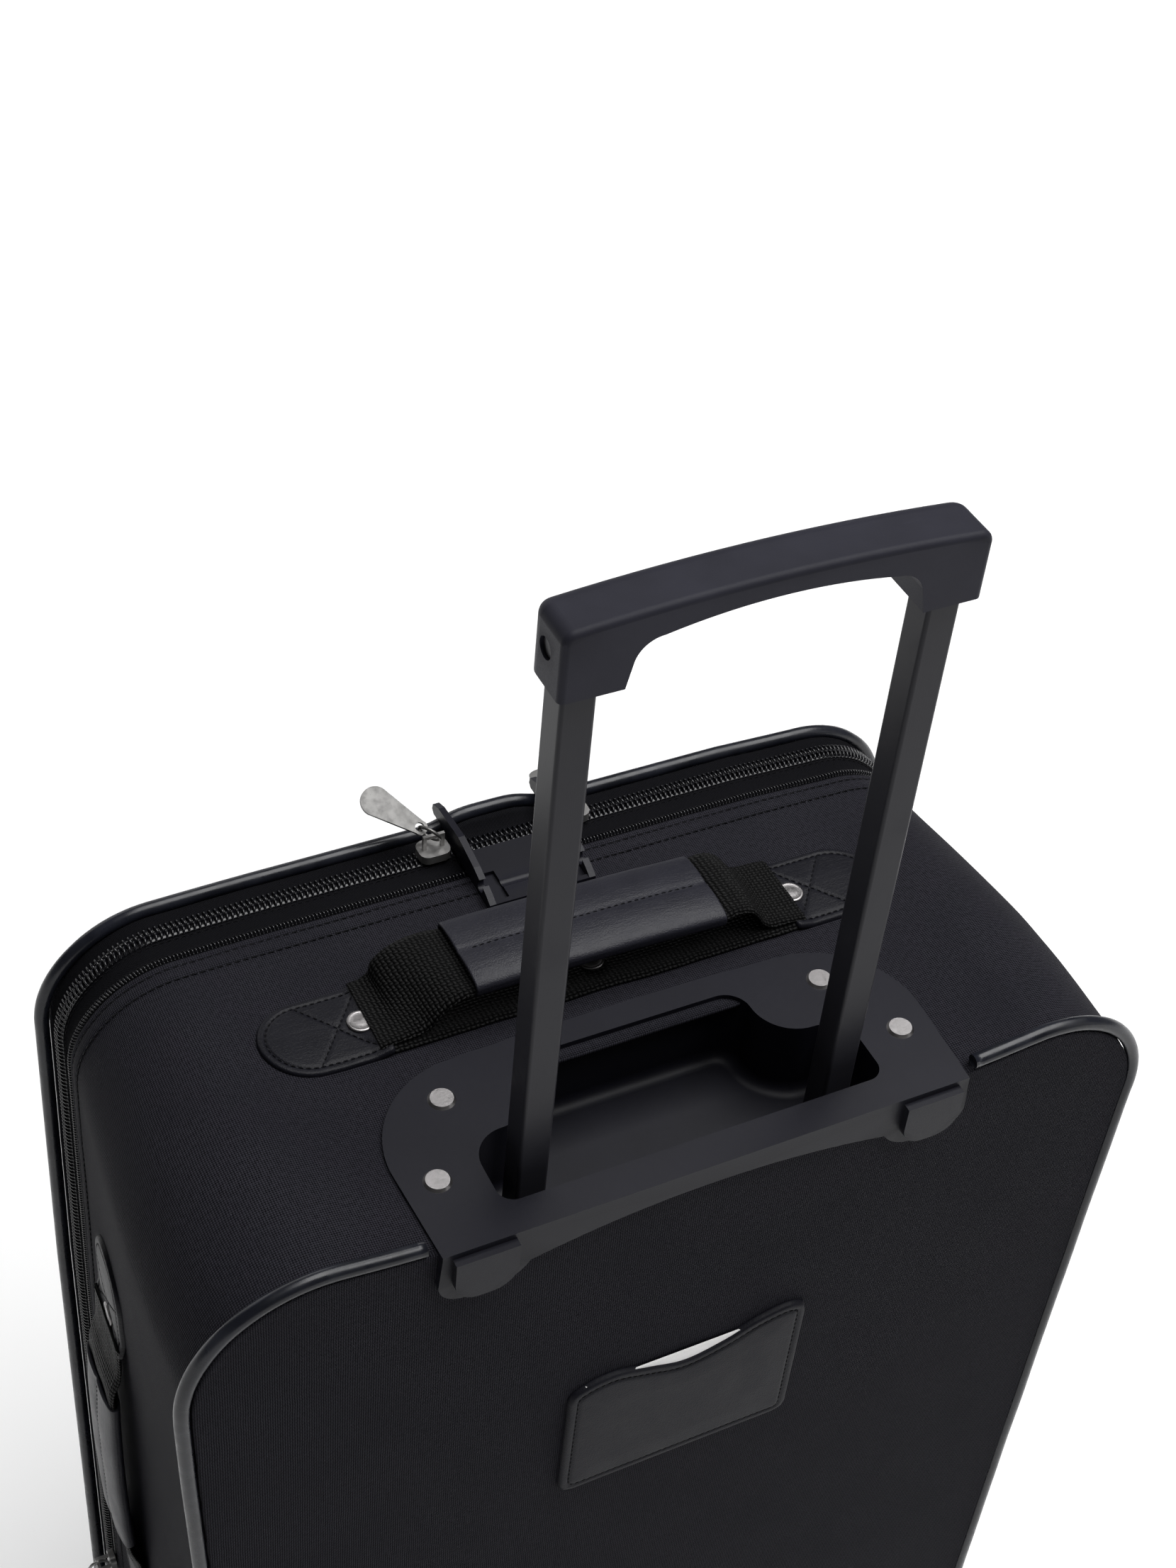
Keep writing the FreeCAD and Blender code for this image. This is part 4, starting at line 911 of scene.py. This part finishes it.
def disc(ring, y, rows, draw=0.0):
    """Points over a panel outline, drawn in first, then by shares of the way to its middle."""
    centre = np.array([0.0, (ring[:, 1].max() + ring[:, 1].min()) / 2])
    layers = []
    for share in rows:
        flat = centre + (ring[:, :2] - ring[:, 2:4] * draw - centre) * (1 - share)
        layers.append(np.stack([flat[:, 0], np.full(len(flat), float(y)), flat[:, 1]], 1))
    return np.stack(layers, 1)


def panel_cloth(name, ring, y, sign, body, node, seed, fill, thickness=2.2, quiet=False,
                material=FABRIC):
    """A flat cloth panel facing sign * Y, drawn out to the seam at its rim."""
    rows = np.concatenate([[0, 0.006, 0.014, 0.025, 0.045], np.linspace(0.075, 0.985, 30)])
    points = disc(ring, y, rows)
    edge = np.minimum(rows / 0.05, 1.0)[None, :]
    wave = wrinkle(points, 90, 0.9, seed) + wrinkle(points, 28, 0.25, seed + 1)
    points[..., 1] += sign * fill * edge * wave
    if quiet:
        away = np.hypot((points[..., 0] + 3) / 62, (points[..., 2] - 384) / 50)
        near = np.exp(-np.clip(away - 0.75, 0, 9) ** 2 * 12)
        points[..., 1] = points[..., 1] * (1 - near) + (y - 0.1 * sign) * near
    rim_moved = slump(points[:, :1]) - points[:, :1]
    points += rim_moved * np.clip(1 - rows / 0.35, 0, 1)[None, :, None]
    if body == "lid":
        points = lift_front(points, np.clip(1 - rows / 0.12, 0, 1))
    uvs = np.concatenate([points, points[:1]])[..., [0, 2]]
    soup = Soup()
    if sign > 0:
        points, uvs = points[:, ::-1], uvs[:, ::-1]
    base = soup.grid(points, uvs, close_a=True)
    soup.shut(base, len(ring), len(rows), 0 if sign > 0 else len(rows) - 1, flip=sign > 0)
    return thicken(soup.piece(name, material, body, [node]), thickness)


def make_back_panel():
    ring = rim(3.0, half=HALF - 0.3)
    made = panel_cloth("back_cloth", ring, REAR_Y - 0.35, 1, "case", "back_panel", 11, 0.5, quiet=True)


# ---------------------------------------------------------------- leathercloth plates, webbing and handles


def to_line(points, line, closed=False):
    """Distance of plane points to a polyline."""
    points = np.asarray(points, float)
    line = np.asarray(line, float)
    if closed:
        line = np.concatenate([line, line[:1]])
    best = np.full(points.shape[:-1], 1e9)
    for a, b in zip(line, line[1:]):
        run = b - a
        share = np.clip(((points - a) @ run) / max(run @ run, 1e-9), 0, 1)
        best = np.minimum(best, np.linalg.norm(points - a - share[..., None] * run, axis=-1))
    return best


def inset(ring, depth):
    """A closed plane outline drawn in by depth."""
    normal = normals_2d(ring, True)
    if ((ring.mean(0) - ring) * normal).sum() < 0:
        normal = -normal
    return ring + normal * depth


# How far a sewn-on plate swells between its seams.
DOME = 0.5


def flat_wrinkle(points, size, amount, seed):
    return wrinkle(np.concatenate([points, np.zeros(points.shape[:-1] + (1,))], -1), size, amount, seed)


def plaque(name, outline, place, nodes, thick, seam, seed, lines=(), dimples=(), material=LEATHER,
           lapped=0.0, uneven=0.2):
    """A sewn-on plate of leathercloth over a plane outline, with its seam pulled in and stitched."""
    ring = resample(outline, 1.1, closed=True)
    centre = ring.mean(0)
    shares = np.concatenate([[0.4, 0.0], np.arange(0, 0.18, 0.012), np.linspace(0.19, 0.97, 22)])
    flat = centre + (ring[:, None] - centre) * (1 - shares[None, :, None])

    def overlap(points):
        """The inner end of a patch lies on the webbing."""
        return lapped * np.clip((85 - np.abs(points[..., 0])) / 6.5, 0, 1)

    stitch_lines = [inset(ring, seam)] + [np.array(line, float) for line in lines]

    def rise(points):
        depth = to_line(points, ring, True)
        height = thick * (1 - np.exp(-depth / 0.35)) + DOME * np.clip((depth - seam) / 9, 0, 1) ** 0.6
        groove = np.exp(-((depth - seam) / 0.55) ** 2)
        for line in stitch_lines[1:]:
            groove = np.maximum(groove, np.exp(-(to_line(points, line) / 0.6) ** 2))
        height = height - 0.42 * groove + flat_wrinkle(points, 11, uneven, seed) * np.clip(depth / 4, 0, 1)
        for spot in dimples:
            height = height - 0.7 * np.exp(-(np.linalg.norm(points - np.array(spot), axis=-1) / 5.5) ** 2)
        return height

    height = rise(flat)
    height[:, :2] = -0.8
    height = height + overlap(flat)
    points = place(flat[..., 0], flat[..., 1], height)
    soup = Soup()
    base = soup.grid(points, np.concatenate([flat, flat[:1]]), close_a=True)
    m = len(shares)
    soup.shut(base, len(ring), m, 0, flip=True)
    soup.shut(base, len(ring), m, m - 1)
    soup.piece(name, material, "case", nodes, recalc=True)
    threads = Soup()
    for k, line in enumerate(stitch_lines):
        path = resample(line, 0.8, closed=k == 0)
        if k == 0:
            path = np.concatenate([path, path[:1]])
        level = rise(path) + overlap(path) + 0.08
        foot = place(path[:, 0], path[:, 1], level)
        up = place(path[:, 0], path[:, 1], level + 1) - foot
        stitches(threads, foot, up, pitch=2.6, thread_r=0.24, length=0.78)
    threads.piece(name + "_stitching", THREAD, "case")


def top_place(u, v, h):
    """From along, across and above the carry handle's middle on the top of the case."""
    u, v, h = np.broadcast_arrays(np.asarray(u, float), v, h)
    return slump(np.stack([u, v, HIGH + h], -1))


def side_place(u, v, h):
    """The same for the handle on the side, along Z."""
    u, v, h = np.broadcast_arrays(np.asarray(u, float), v, h)
    return slump(np.stack([HALF + h, v, 304 + u], -1))


# How far a handle's end rivets are from its middle, and their size.
RIVET_AT, RIVET_R = 83.7, 4.9


def patch_outline(sign, middle):
    inner, bend, half = 77.5, 103.0, 17.0
    turn = np.linspace(-math.pi / 2, math.pi / 2, 24)
    arc = [(bend + half * math.cos(t), half * math.sin(t)) for t in turn]
    corners = [(inner + 1.2, -half), *arc, (inner + 1.2, half), (inner + 0.3, half - 0.4),
               (inner, half - 1.4), (inner, -half + 1.4), (inner + 0.3, -half + 0.4)]
    return [(sign * u, middle + v) for u, v in corners]


def sewn_patch(name, node, sign, middle, place, seed):
    """A handle's end patch, with a cross of stitches and a dimple under its rivet."""
    crossing = [[(sign * 80.7, middle + rise), (sign * 103, middle - rise)] for rise in (14, -14)]
    plaque(name, patch_outline(sign, middle), place, [node], 1.5, 3.0, seed, crossing,
           [(sign * RIVET_AT, middle)], lapped=1.7)


def rivet(soup, place, u, v, seat):
    """A flat tubular rivet head with a pressed rim."""
    radius = RIVET_R
    profile = [(radius, -0.9), (radius + 0.02, 0.15), (radius - 0.12, 0.5), (radius - 0.5, 0.72),
               (radius - 1.0, 0.66), (radius - 1.4, 0.56), (radius * 0.45, 0.72), (0.35, 0.78)]
    turn = round_turn(40)
    rows = [place(u + r * np.cos(turn), v + r * np.sin(turn), seat + h) for r, h in profile]
    soup.tube(np.stack(rows))


def ribbon(path, width, thick, place, middle, crown=0.0, seed=0):
    """Points round a flat strap: path is (along, height) of its middle, or a pair for its two edges."""
    path = np.asarray(path, float)
    far = path[1] if path.ndim == 3 else path
    path = path[0] if path.ndim == 3 else path
    across = np.concatenate([np.linspace(-1, 1, 19), np.linspace(1, -1, 19)])
    side = np.concatenate([np.full(19, 0.5), np.full(19, -0.5)])
    side = side * np.clip((1 - np.abs(across)) / 0.06 + 0.25, 0.25, 1)
    mixed = np.clip((across + 1) / 2, 0, 1)[None, :, None]
    lines = path[:, None] * (1 - mixed) + far[:, None] * mixed
    run = np.gradient(lines, axis=0)
    run /= np.linalg.norm(run, axis=2, keepdims=True)
    lift = np.stack([-run[..., 1], run[..., 0]], -1)
    lift = lift * np.where(run[..., :1] < 0, -1, 1)
    crown = np.broadcast_to(np.asarray(crown, float), len(path))
    v = across[None, :] * width / 2
    bow = crown[:, None] * (1 - across[None, :] ** 2)
    bow = bow + flat_wrinkle(np.stack(np.broadcast_arrays(path[:, :1], v), -1), 9, 0.35, seed)
    off = side[None, :] * thick + bow
    u = lines[..., 0] + lift[..., 0] * off
    h = lines[..., 1] + lift[..., 1] * off
    wavy = flat_wrinkle(np.stack(np.broadcast_arrays(path[:, :1], 0 * v), -1), 14, 0.5, seed + 5)
    points = place(u, v + middle + wavy, h)
    return points, mesh_grid(lengths(path), np.concatenate([v[0], v[0][:1]]))


def spline(knots, count):
    """A smooth curve through plane knots."""
    knots = np.asarray(knots, float)
    at = lengths(knots)
    slope = np.gradient(knots, at, axis=0)
    where = np.linspace(0, at[-1], count)
    cell = np.clip(np.searchsorted(at, where) - 1, 0, len(at) - 2)
    span = (at[cell + 1] - at[cell])[:, None]
    t = ((where - at[cell]) / span[:, 0])[:, None]
    return ((2 * t ** 3 - 3 * t ** 2 + 1) * knots[cell] + (t ** 3 - 2 * t ** 2 + t) * span * slope[cell]
            + (3 * t ** 2 - 2 * t ** 3) * knots[cell + 1] + (t ** 3 - t ** 2) * span * slope[cell + 1])


def sleeve(name, place, middle, level, height, body, nodes, seed, tilt=0.0):
    """The leathercloth tube round the handle's webbing, cut straight at its ends."""
    half, wide, wall = 48.0, 34.0, 1.3
    lips = [(-half + 9, -wall), (-half + 0.25, -wall), (-half, -wall * 0.75), (-half, -0.3),
            (-half + 0.2, -0.05)]
    profile = lips + [(u, 0.0) for u in np.linspace(-half + 0.6, half - 0.6, 90)]
    profile += [(-u, o) for u, o in lips[::-1]]
    turn = round_turn(72)
    square = 3.4
    cos, sin = np.cos(turn), np.sin(turn)
    reach = (np.abs(cos) ** square + np.abs(sin) ** square) ** (-1 / square)
    v, h = reach * cos, reach * sin
    u = np.array([p[0] for p in profile])[:, None]
    off = np.array([p[1] for p in profile])[:, None]
    v = v[None, :] * (wide / 2 + off)
    h = h[None, :] * (height / 2 + off)
    flatness = np.stack(np.broadcast_arrays(u, v), -1)
    body_share = np.clip((half - np.abs(u)) / 3, 0.25, 1)
    top = np.clip(h / (height / 2), 0, 1)
    h = h + top * (flat_wrinkle(flatness, 22, 0.5, seed) * body_share - 0.4 * np.exp(-(v / 0.7) ** 2)
                   + 0.35 * np.exp(-((np.abs(v) - 7) / 6.0) ** 2))
    sag = 1.0 - 1.0 * (np.abs(u) / half) ** 2 + tilt * u
    points = place(np.broadcast_to(u, v.shape), v + middle, h + level + sag)
    soup = Soup()
    around = lengths(np.stack([v[40], h[40]], 1))
    around = np.concatenate([around, [around[-1] + 1.2]])
    soup.tube(points, mesh_grid(u[:, 0], around))
    soup.piece(name, SLEEVE_LEATHER, body, nodes, recalc=True)
    threads = Soup()
    run = np.linspace(-half + 5, half - 5, 120)
    lift = flat_wrinkle(np.stack([run, 0 * run], -1), 22, 0.5, seed)
    bow = 1.0 - (np.abs(run) / half) ** 2 + tilt * run
    line = place(run, np.full(len(run), float(middle)), height / 2 + level - 0.32 + lift + bow)
    up = place(0, 0, 1.0) - place(0, 0, 0.0)
    stitches(threads, line, up, pitch=2.7, thread_r=0.24, length=0.76)
    threads.piece(name + "_stitching", THREAD, body)


# The webbing's middle line from the sleeve down to the patch, by distance out and height.
FRONT_ARCH = [(34, 16.0), (48, 16.2), (55, 16.8), (62, 16.4), (69, 13.6), (73.2, 9.0), (74.0, 5.0),
              (76.5, 3.0), (82, 2.2)]
REAR_ARCH = [(34, 15.6), (48, 15.4), (52, 14.8), (57, 12.6), (61, 9.0), (64, 5.8), (68, 4.0),
             (75, 3.2), (82, 2.2)]
RIGHT_ARCH = [(34, 15.0), (48, 15.2), (53, 16.0), (58, 14.6), (61.5, 10.6), (64, 6.6), (68, 4.0),
              (75, 3.2), (82, 2.2)]
LIFTED = 2.2


def carry_arch(name, knots, sign, scale, place, middle, nodes, seed):
    """Handle webbing between a patch and the sleeve; scale sets how high it arches."""
    paths = np.stack([spline([(u, LIFTED + (h - LIFTED) * scale) for u, h in edge], 64) for edge in knots])
    hump = np.sin(math.pi * np.clip((paths[0, :, 0] - 48) / 27, 0, 1))
    paths[..., 0] *= sign
    points, uvs = ribbon(paths, 32.5, 2.1, place, middle, crown=1.2 * hump, seed=seed)
    soup = Soup()
    soup.tube(points, uvs)
    made = soup.piece(name, WEBBING, None, nodes, recalc=True)
    foot = place(sign * 77.5, middle, 2.5)
    head = place(sign * 50.0, middle, 12.0)
    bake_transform(made)


def make_carry_handle():
    for tag, sign, seed in (("left", 1, 21), ("right", -1, 24)):
        sewn_patch(f"patch_{tag}_cloth", f"patch_{tag}", sign, 6, top_place, seed)
    strip = np.stack([np.linspace(-79, 79, 150), np.full(150, 1.15)], 1)
    points, uvs = ribbon(strip, 33.2, 2.3, top_place, 6, seed=3)
    soup = Soup()
    soup.tube(points, uvs)
    soup.piece("webbing_band", WEBBING, "case", ["webbing_strip"], recalc=True)
    rivets = Soup()
    for u, seat in ((RIVET_AT, 1.8), (-1, 2.5), (-RIVET_AT, 1.8)):
        rivet(rivets, top_place, u, 6 if abs(u) > 9 else 9.5, seat)
    rivets.piece("top_rivets", NICKEL, "case", ["handle_rivets"], recalc=True)
    sleeve("carry_sleeve_cloth", top_place, 4, 15.3, 8.0, "carry_handle", ["carry_sleeve"], 31, tilt=0.02)
    for tag, knots, sign, seed in (("left", (FRONT_ARCH, REAR_ARCH), 1, 41),
                                   ("right", (RIGHT_ARCH, RIGHT_ARCH), -1, 43)):
        carry_arch(f"carry_strap_{tag}", knots, sign, 1.0, top_place, 4.5,
                   ["carry_webbing"], seed)


def make_side_handle():
    for tag, sign, seed in (("upper", 1, 51), ("lower", -1, 54)):
        sewn_patch(f"side_patch_{tag}", "side_patches", sign, -6, side_place, seed)
    rivets = Soup()
    for u in (RIVET_AT, -RIVET_AT):
        rivet(rivets, side_place, u, -6, 1.8)
    rivets.piece("side_rivet_heads", NICKEL, "case", ["side_rivets"], recalc=True)
    sleeve("side_sleeve_cloth", side_place, -6, 6.3, 6.0, "side_handle", ["side_sleeve"], 61)
    for tag, sign, seed in (("upper", 1, 71), ("lower", -1, 73)):
        carry_arch(f"side_strap_{tag}", (REAR_ARCH, REAR_ARCH), sign, 0.34, side_place, -6,
                   ["side_webbing"], seed)


def back_place(u, v, h):
    u, v, h = np.broadcast_arrays(np.asarray(u, float), v, h)
    return np.stack([u, REAR_Y + h, v], -1)


LABEL_TOP = [(44.3, 407.8), (42.8, 411), (39, 413.2), (28, 415.6), (13, 412.0), (-1, 408.2),
             (-17, 411.2), (-32, 417.0), (-45.5, 418.2), (-49.6, 416.2)]


def make_label():
    """A wavy-topped sleeve for the name card, sewn to the back."""
    arc = [(-45.5, 350), (39.5, 350), (42.9, 351.4), (44.5, 355)]
    wave = [tuple(p) for p in spline(LABEL_TOP, 60)]
    outline = arc + wave + [(-50.5, 412), (-50.5, 355), (-49.1, 351.4)]
    plaque("label_cloth", outline, back_place, ["id_holder"], 1.9, 3.6, 81, material=SMOOTH_LEATHER,
           uneven=0.05)


# ---------------------------------------------------------------- lid, pockets and lining


def make_lid():
    ring = rim(3.0, half=HALF - 0.3, high=LID_HIGH - 0.3)
    made = panel_cloth("lid_cloth", ring, -74.9, -1, "lid", "lid_panel", 91, 0.5)
    inner = rim(3.4, half=HALF - 1.0, high=LID_HIGH - 1.0)
    lining = panel_cloth("lid_lining", inner, -69.5, 1, "lid", "lid_liner", 95, 0.7, thickness=0.8,
                         material=LINING)


def make_hinge_cloth():
    """The strip of cloth under the case that the lid opens on."""
    ring = rim(3.0)
    ring = ring[[k for k in range(len(ring)) if ring[k, 1] <= ZIP_END_Z]]
    turned = sorted(range(len(ring)), key=lambda k: math.atan2(ring[k, 0], 200 - ring[k, 1]))
    ring = ring[turned]
    profile = [(-0.55, y) for y in np.linspace(-45.5, -70.6, 14)]
    points = band(ring, profile)
    points = points + outward(ring)[:, None] * wrinkle(points, 20, 0.3, 7)[..., None]
    inner = band(ring, [(-2.1, y) for _, y in profile[::-1]])
    soup = Soup()
    soup.tube(np.concatenate([points, inner], 1))
    made = soup.piece("hinge_cloth", FABRIC, None, ["hinge_strip"], recalc=True)
    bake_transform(made)


def make_room(points):
    """Folds the lining round the handle cup, over the wheel housings and up from the base board."""
    x, y, z = (points[..., k].copy() for k in range(3))
    share = np.clip((88 - np.abs(x)) / 5, 0, 1) * (y > 28) * (z > 478)
    top, deep, front, reach = 514.4, 36.4, 28, 43
    y_fold = np.minimum(y, front + np.clip(top - z, 0, 37) * reach / deep)
    z_fold = top - np.clip(y - front, 0, reach) * deep / reach
    points[..., 1] = y * (1 - share) + y_fold * share
    points[..., 2] = z * (1 - share) + z_fold * share
    low = points[..., 2] < 90
    over = np.clip((26.5 - np.abs(np.abs(x) - 122)) / 3.5, 0, 1) * np.clip((y - 46) / 4, 0, 1)
    floor_z = 44.6 + over * 19.0
    points[..., 2] = np.where(low, np.maximum(points[..., 2], floor_z), points[..., 2])
    return points


def make_lining():
    """The lining of the main compartment: a loose tray of taffeta."""
    ring = rim(4.0)
    shares = np.concatenate([[0.006, 0.02], np.linspace(0.05, 0.985, 26)])
    walls = [(-3.0, -45.4), (-3.3, -44.2)] + [(-3.5, y) for y in np.linspace(-40, 62, 34)]
    walls += [(-4.2, 66.4), (-6.2, 69.4), (-9.0, 70.8)]
    side = slump(band(ring, walls))
    side = fabric_relief(side, 101)
    back = disc(ring, 70.9, shares, 9)
    wave = wrinkle(back, 70, 1.0, 103) + wrinkle(back, 24, 0.4, 104) - 0.8
    back[..., 1] += np.minimum(shares / 0.05, 1)[None, :] * wave
    points = make_room(np.concatenate([side, back], 1))
    soup = Soup()
    points = points[::-1]
    base = soup.grid(points, close_a=True)
    m = points.shape[1]
    soup.shut(base, len(points), m, m - 1)
    made = soup.piece("lining_cloth", LINING, "case", ["liner"])
    thicken(made, 0.8)


def evaluated_mesh(thing):
    return bpy.data.meshes.new_from_object(thing.evaluated_get(bpy.context.evaluated_depsgraph_get()))


def vertex_places(mesh):
    places = np.empty(len(mesh.vertices) * 3)
    mesh.vertices.foreach_get("co", places)
    return places.reshape(-1, 3)


CLOTH_FRAMES = 20


def swell(made, pressure, cap, pinned):
    """Lets a padded form swell as cloth, within a limit, and keeps the result as its mesh."""
    source = made.data
    work = bpy.data.objects.new("swelling", source.copy())
    bpy.context.scene.collection.objects.link(work)
    remesh = work.modifiers.new("even", "REMESH")
    remesh.mode, remesh.voxel_size = "VOXEL", 0.0055
    bpy.context.view_layer.update()
    even = evaluated_mesh(work)
    work.modifiers.clear()
    work.data = even
    start = vertex_places(even)
    group = work.vertex_groups.new(name="sewn")
    group.add([k for k, p in enumerate(start) if pinned(p * 1000)], 1.0, "REPLACE")
    cloth = work.modifiers.new("cloth", "CLOTH")
    cloth.settings.use_pressure = True
    cloth.settings.uniform_pressure_force = pressure
    cloth.settings.quality = 5
    cloth.settings.mass = 0.2
    cloth.settings.tension_stiffness = cloth.settings.compression_stiffness = 12
    cloth.settings.bending_stiffness = 0.4
    cloth.settings.vertex_group_mass = "sewn"
    cloth.settings.effector_weights.gravity = 0
    cloth.point_cache.frame_start, cloth.point_cache.frame_end = 1, CLOTH_FRAMES
    for frame_number in range(1, CLOTH_FRAMES + 1):
        bpy.context.scene.frame_set(frame_number)
    settled = evaluated_mesh(work)
    shift = vertex_places(settled) - start
    size = np.maximum(np.linalg.norm(shift, axis=1, keepdims=True), 1e-9)
    result = start + shift * np.minimum(1, cap * MM / size)
    bpy.context.scene.frame_set(1)
    settled.vertices.foreach_set("co", result.ravel())
    settled.polygons.foreach_set("use_smooth", [True] * len(settled.polygons))
    bpy.data.objects.remove(work)
    made.data = settled


def reach_surface(made, x, z):
    """Where the front of a pocket is, and its normal, seen from -Y."""
    from_point = Vector((x, -200, z)) * MM
    hit, where, normal, _ = made.ray_cast(from_point, Vector((0, 1, 0)))
    if not hit:
        return np.array((x, -80.0, z)), np.array((0.0, -1.0, 0.0))
    return np.array(where) / MM, np.array(normal)


def stitch_pocket(threads, made, spots, pitch, thread_r=0.27):
    hits = [reach_surface(made, x, z) for x, z in spots]
    stitches(threads, [h[0] for h in hits], np.array([h[1] for h in hits]), pitch=pitch, thread_r=thread_r)


def make_pocket(tag, low, high, thick, zip_z, seed):
    face = -75.3 - thick
    ring = rim(4.0, half=147.2, low=low + 0.8, high=high - 0.8, corner=25)
    edge = 8.0
    turn = np.linspace(0, math.pi / 2, 6)
    sides = [(0.0, y) for y in np.linspace(-74.4, face + edge + 1.6, 5)]
    sides += [(-edge + edge * math.cos(t), face + 1.6 + edge - edge * math.sin(t)) for t in turn[1:]]
    wall = band(ring, sides)
    front = disc(ring, face + 1.6, np.linspace(0.04, 0.985, 22), edge)
    points = np.concatenate([wall, front], 1)
    soup = Soup()
    base = soup.grid(points, close_a=True)
    m = points.shape[1]
    soup.shut(base, len(ring), m, 0)
    soup.shut(base, len(ring), m, m - 1)
    made = soup.piece(f"{tag}_pocket_cloth", FABRIC_SOLID, "lid", [f"{tag}_pocket"],
                      recalc=True)
    swell(made, 4.0, 5.0, lambda p: p[1] > -77.5)
    mesh = made.data
    place = vertex_places(mesh) * 1000
    room = np.clip((-77 - place[:, 1]) / 10, 0, 1)
    place[:, 1] += room * (wrinkle(place, 60, 1.0, seed) + wrinkle(place, 19, 0.45, seed + 1))
    place[:, 1] = np.maximum(place[:, 1], face - 1.8)
    by_zip = np.exp(-((place[:, 2] - zip_z) / 9) ** 2) * np.clip((122 - np.abs(place[:, 0])) / 8, 0, 1)
    by_zip = by_zip * (place[:, 1] < face + 9)
    place[:, 1] += (face + 0.15 - place[:, 1]) * by_zip
    mesh.vertices.foreach_set("co", (place * MM).ravel())
    mesh.update()
    threads = Soup()
    bpy.context.view_layer.update()
    outline = rim(3.0, half=139.5, low=low + 8.4, high=high - 8.4, corner=18)
    stitch_pocket(threads, made, np.concatenate([outline, outline[:1]])[:, :2], 3.1)
    for z in (zip_z - 4.6, zip_z + 4.6):
        stitch_pocket(threads, made, [(x, z) for x in np.linspace(-113, 113, 80)], 2.9, 0.22)
    threads.piece(f"{tag}_pocket_stitching", THREAD, "lid")
    smooth = made.modifiers.new("smooth", "SUBSURF")
    smooth.levels = smooth.render_levels = 1
    make_pocket_zip(tag, zip_z, face)


def make_pocket_zip(tag, z, face):
    """A coil zip along a pocket's upper edge, on its two strips of tape."""
    soup = Soup()
    x = np.arange(-111, 111.1, 1.6)
    paths = []
    rows = [(-2.0, 0.1), (-1.5, -1.1), (-0.4, -1.5), (0.4, -1.5), (1.5, -1.1), (2.0, 0.1)]
    for k, at in enumerate(x):
        lean = 0.5 if k % 2 else -0.1
        shares = np.linspace(-1, 1, len(rows))
        paths.append([(at + lean * share, face + off, z + up) for share, (up, off) in zip(shares, rows)])
    strands(soup, np.array(paths), (1, 0, 0), 0.46)
    soup.piece(f"{tag}_pocket_coil", COIL, "lid", [f"{tag}_pocket_zip"])
    tape = Soup()
    along = np.linspace(-112.5, 112.5, 90)
    section = [(-5.8, 0.5), (-5.6, -0.15), (-2.6, -0.35), (0, -0.4), (2.6, -0.35), (5.6, -0.15), (5.8, 0.5)]
    tape.tube(np.stack([[(at, face + off, z + up) for up, off in section] for at in along]))
    tape.piece(f"{tag}_pocket_tape", TAPE, "lid", recalc=True)


def make_pockets():
    make_pocket("lower", 62, 302, 26, 276, 111)
    make_pocket("upper", 326, 466, 18, 440, 115)


# ---------------------------------------------------------------- everything in place

for make in (make_camera, make_studio, dress_cad, make_gusset, make_tapes, make_coils, make_rear_piping,
             make_lid_piping, make_back_panel, make_carry_handle, make_side_handle, make_label, make_lid,
             make_hinge_cloth, make_lining, make_pockets):
    make()
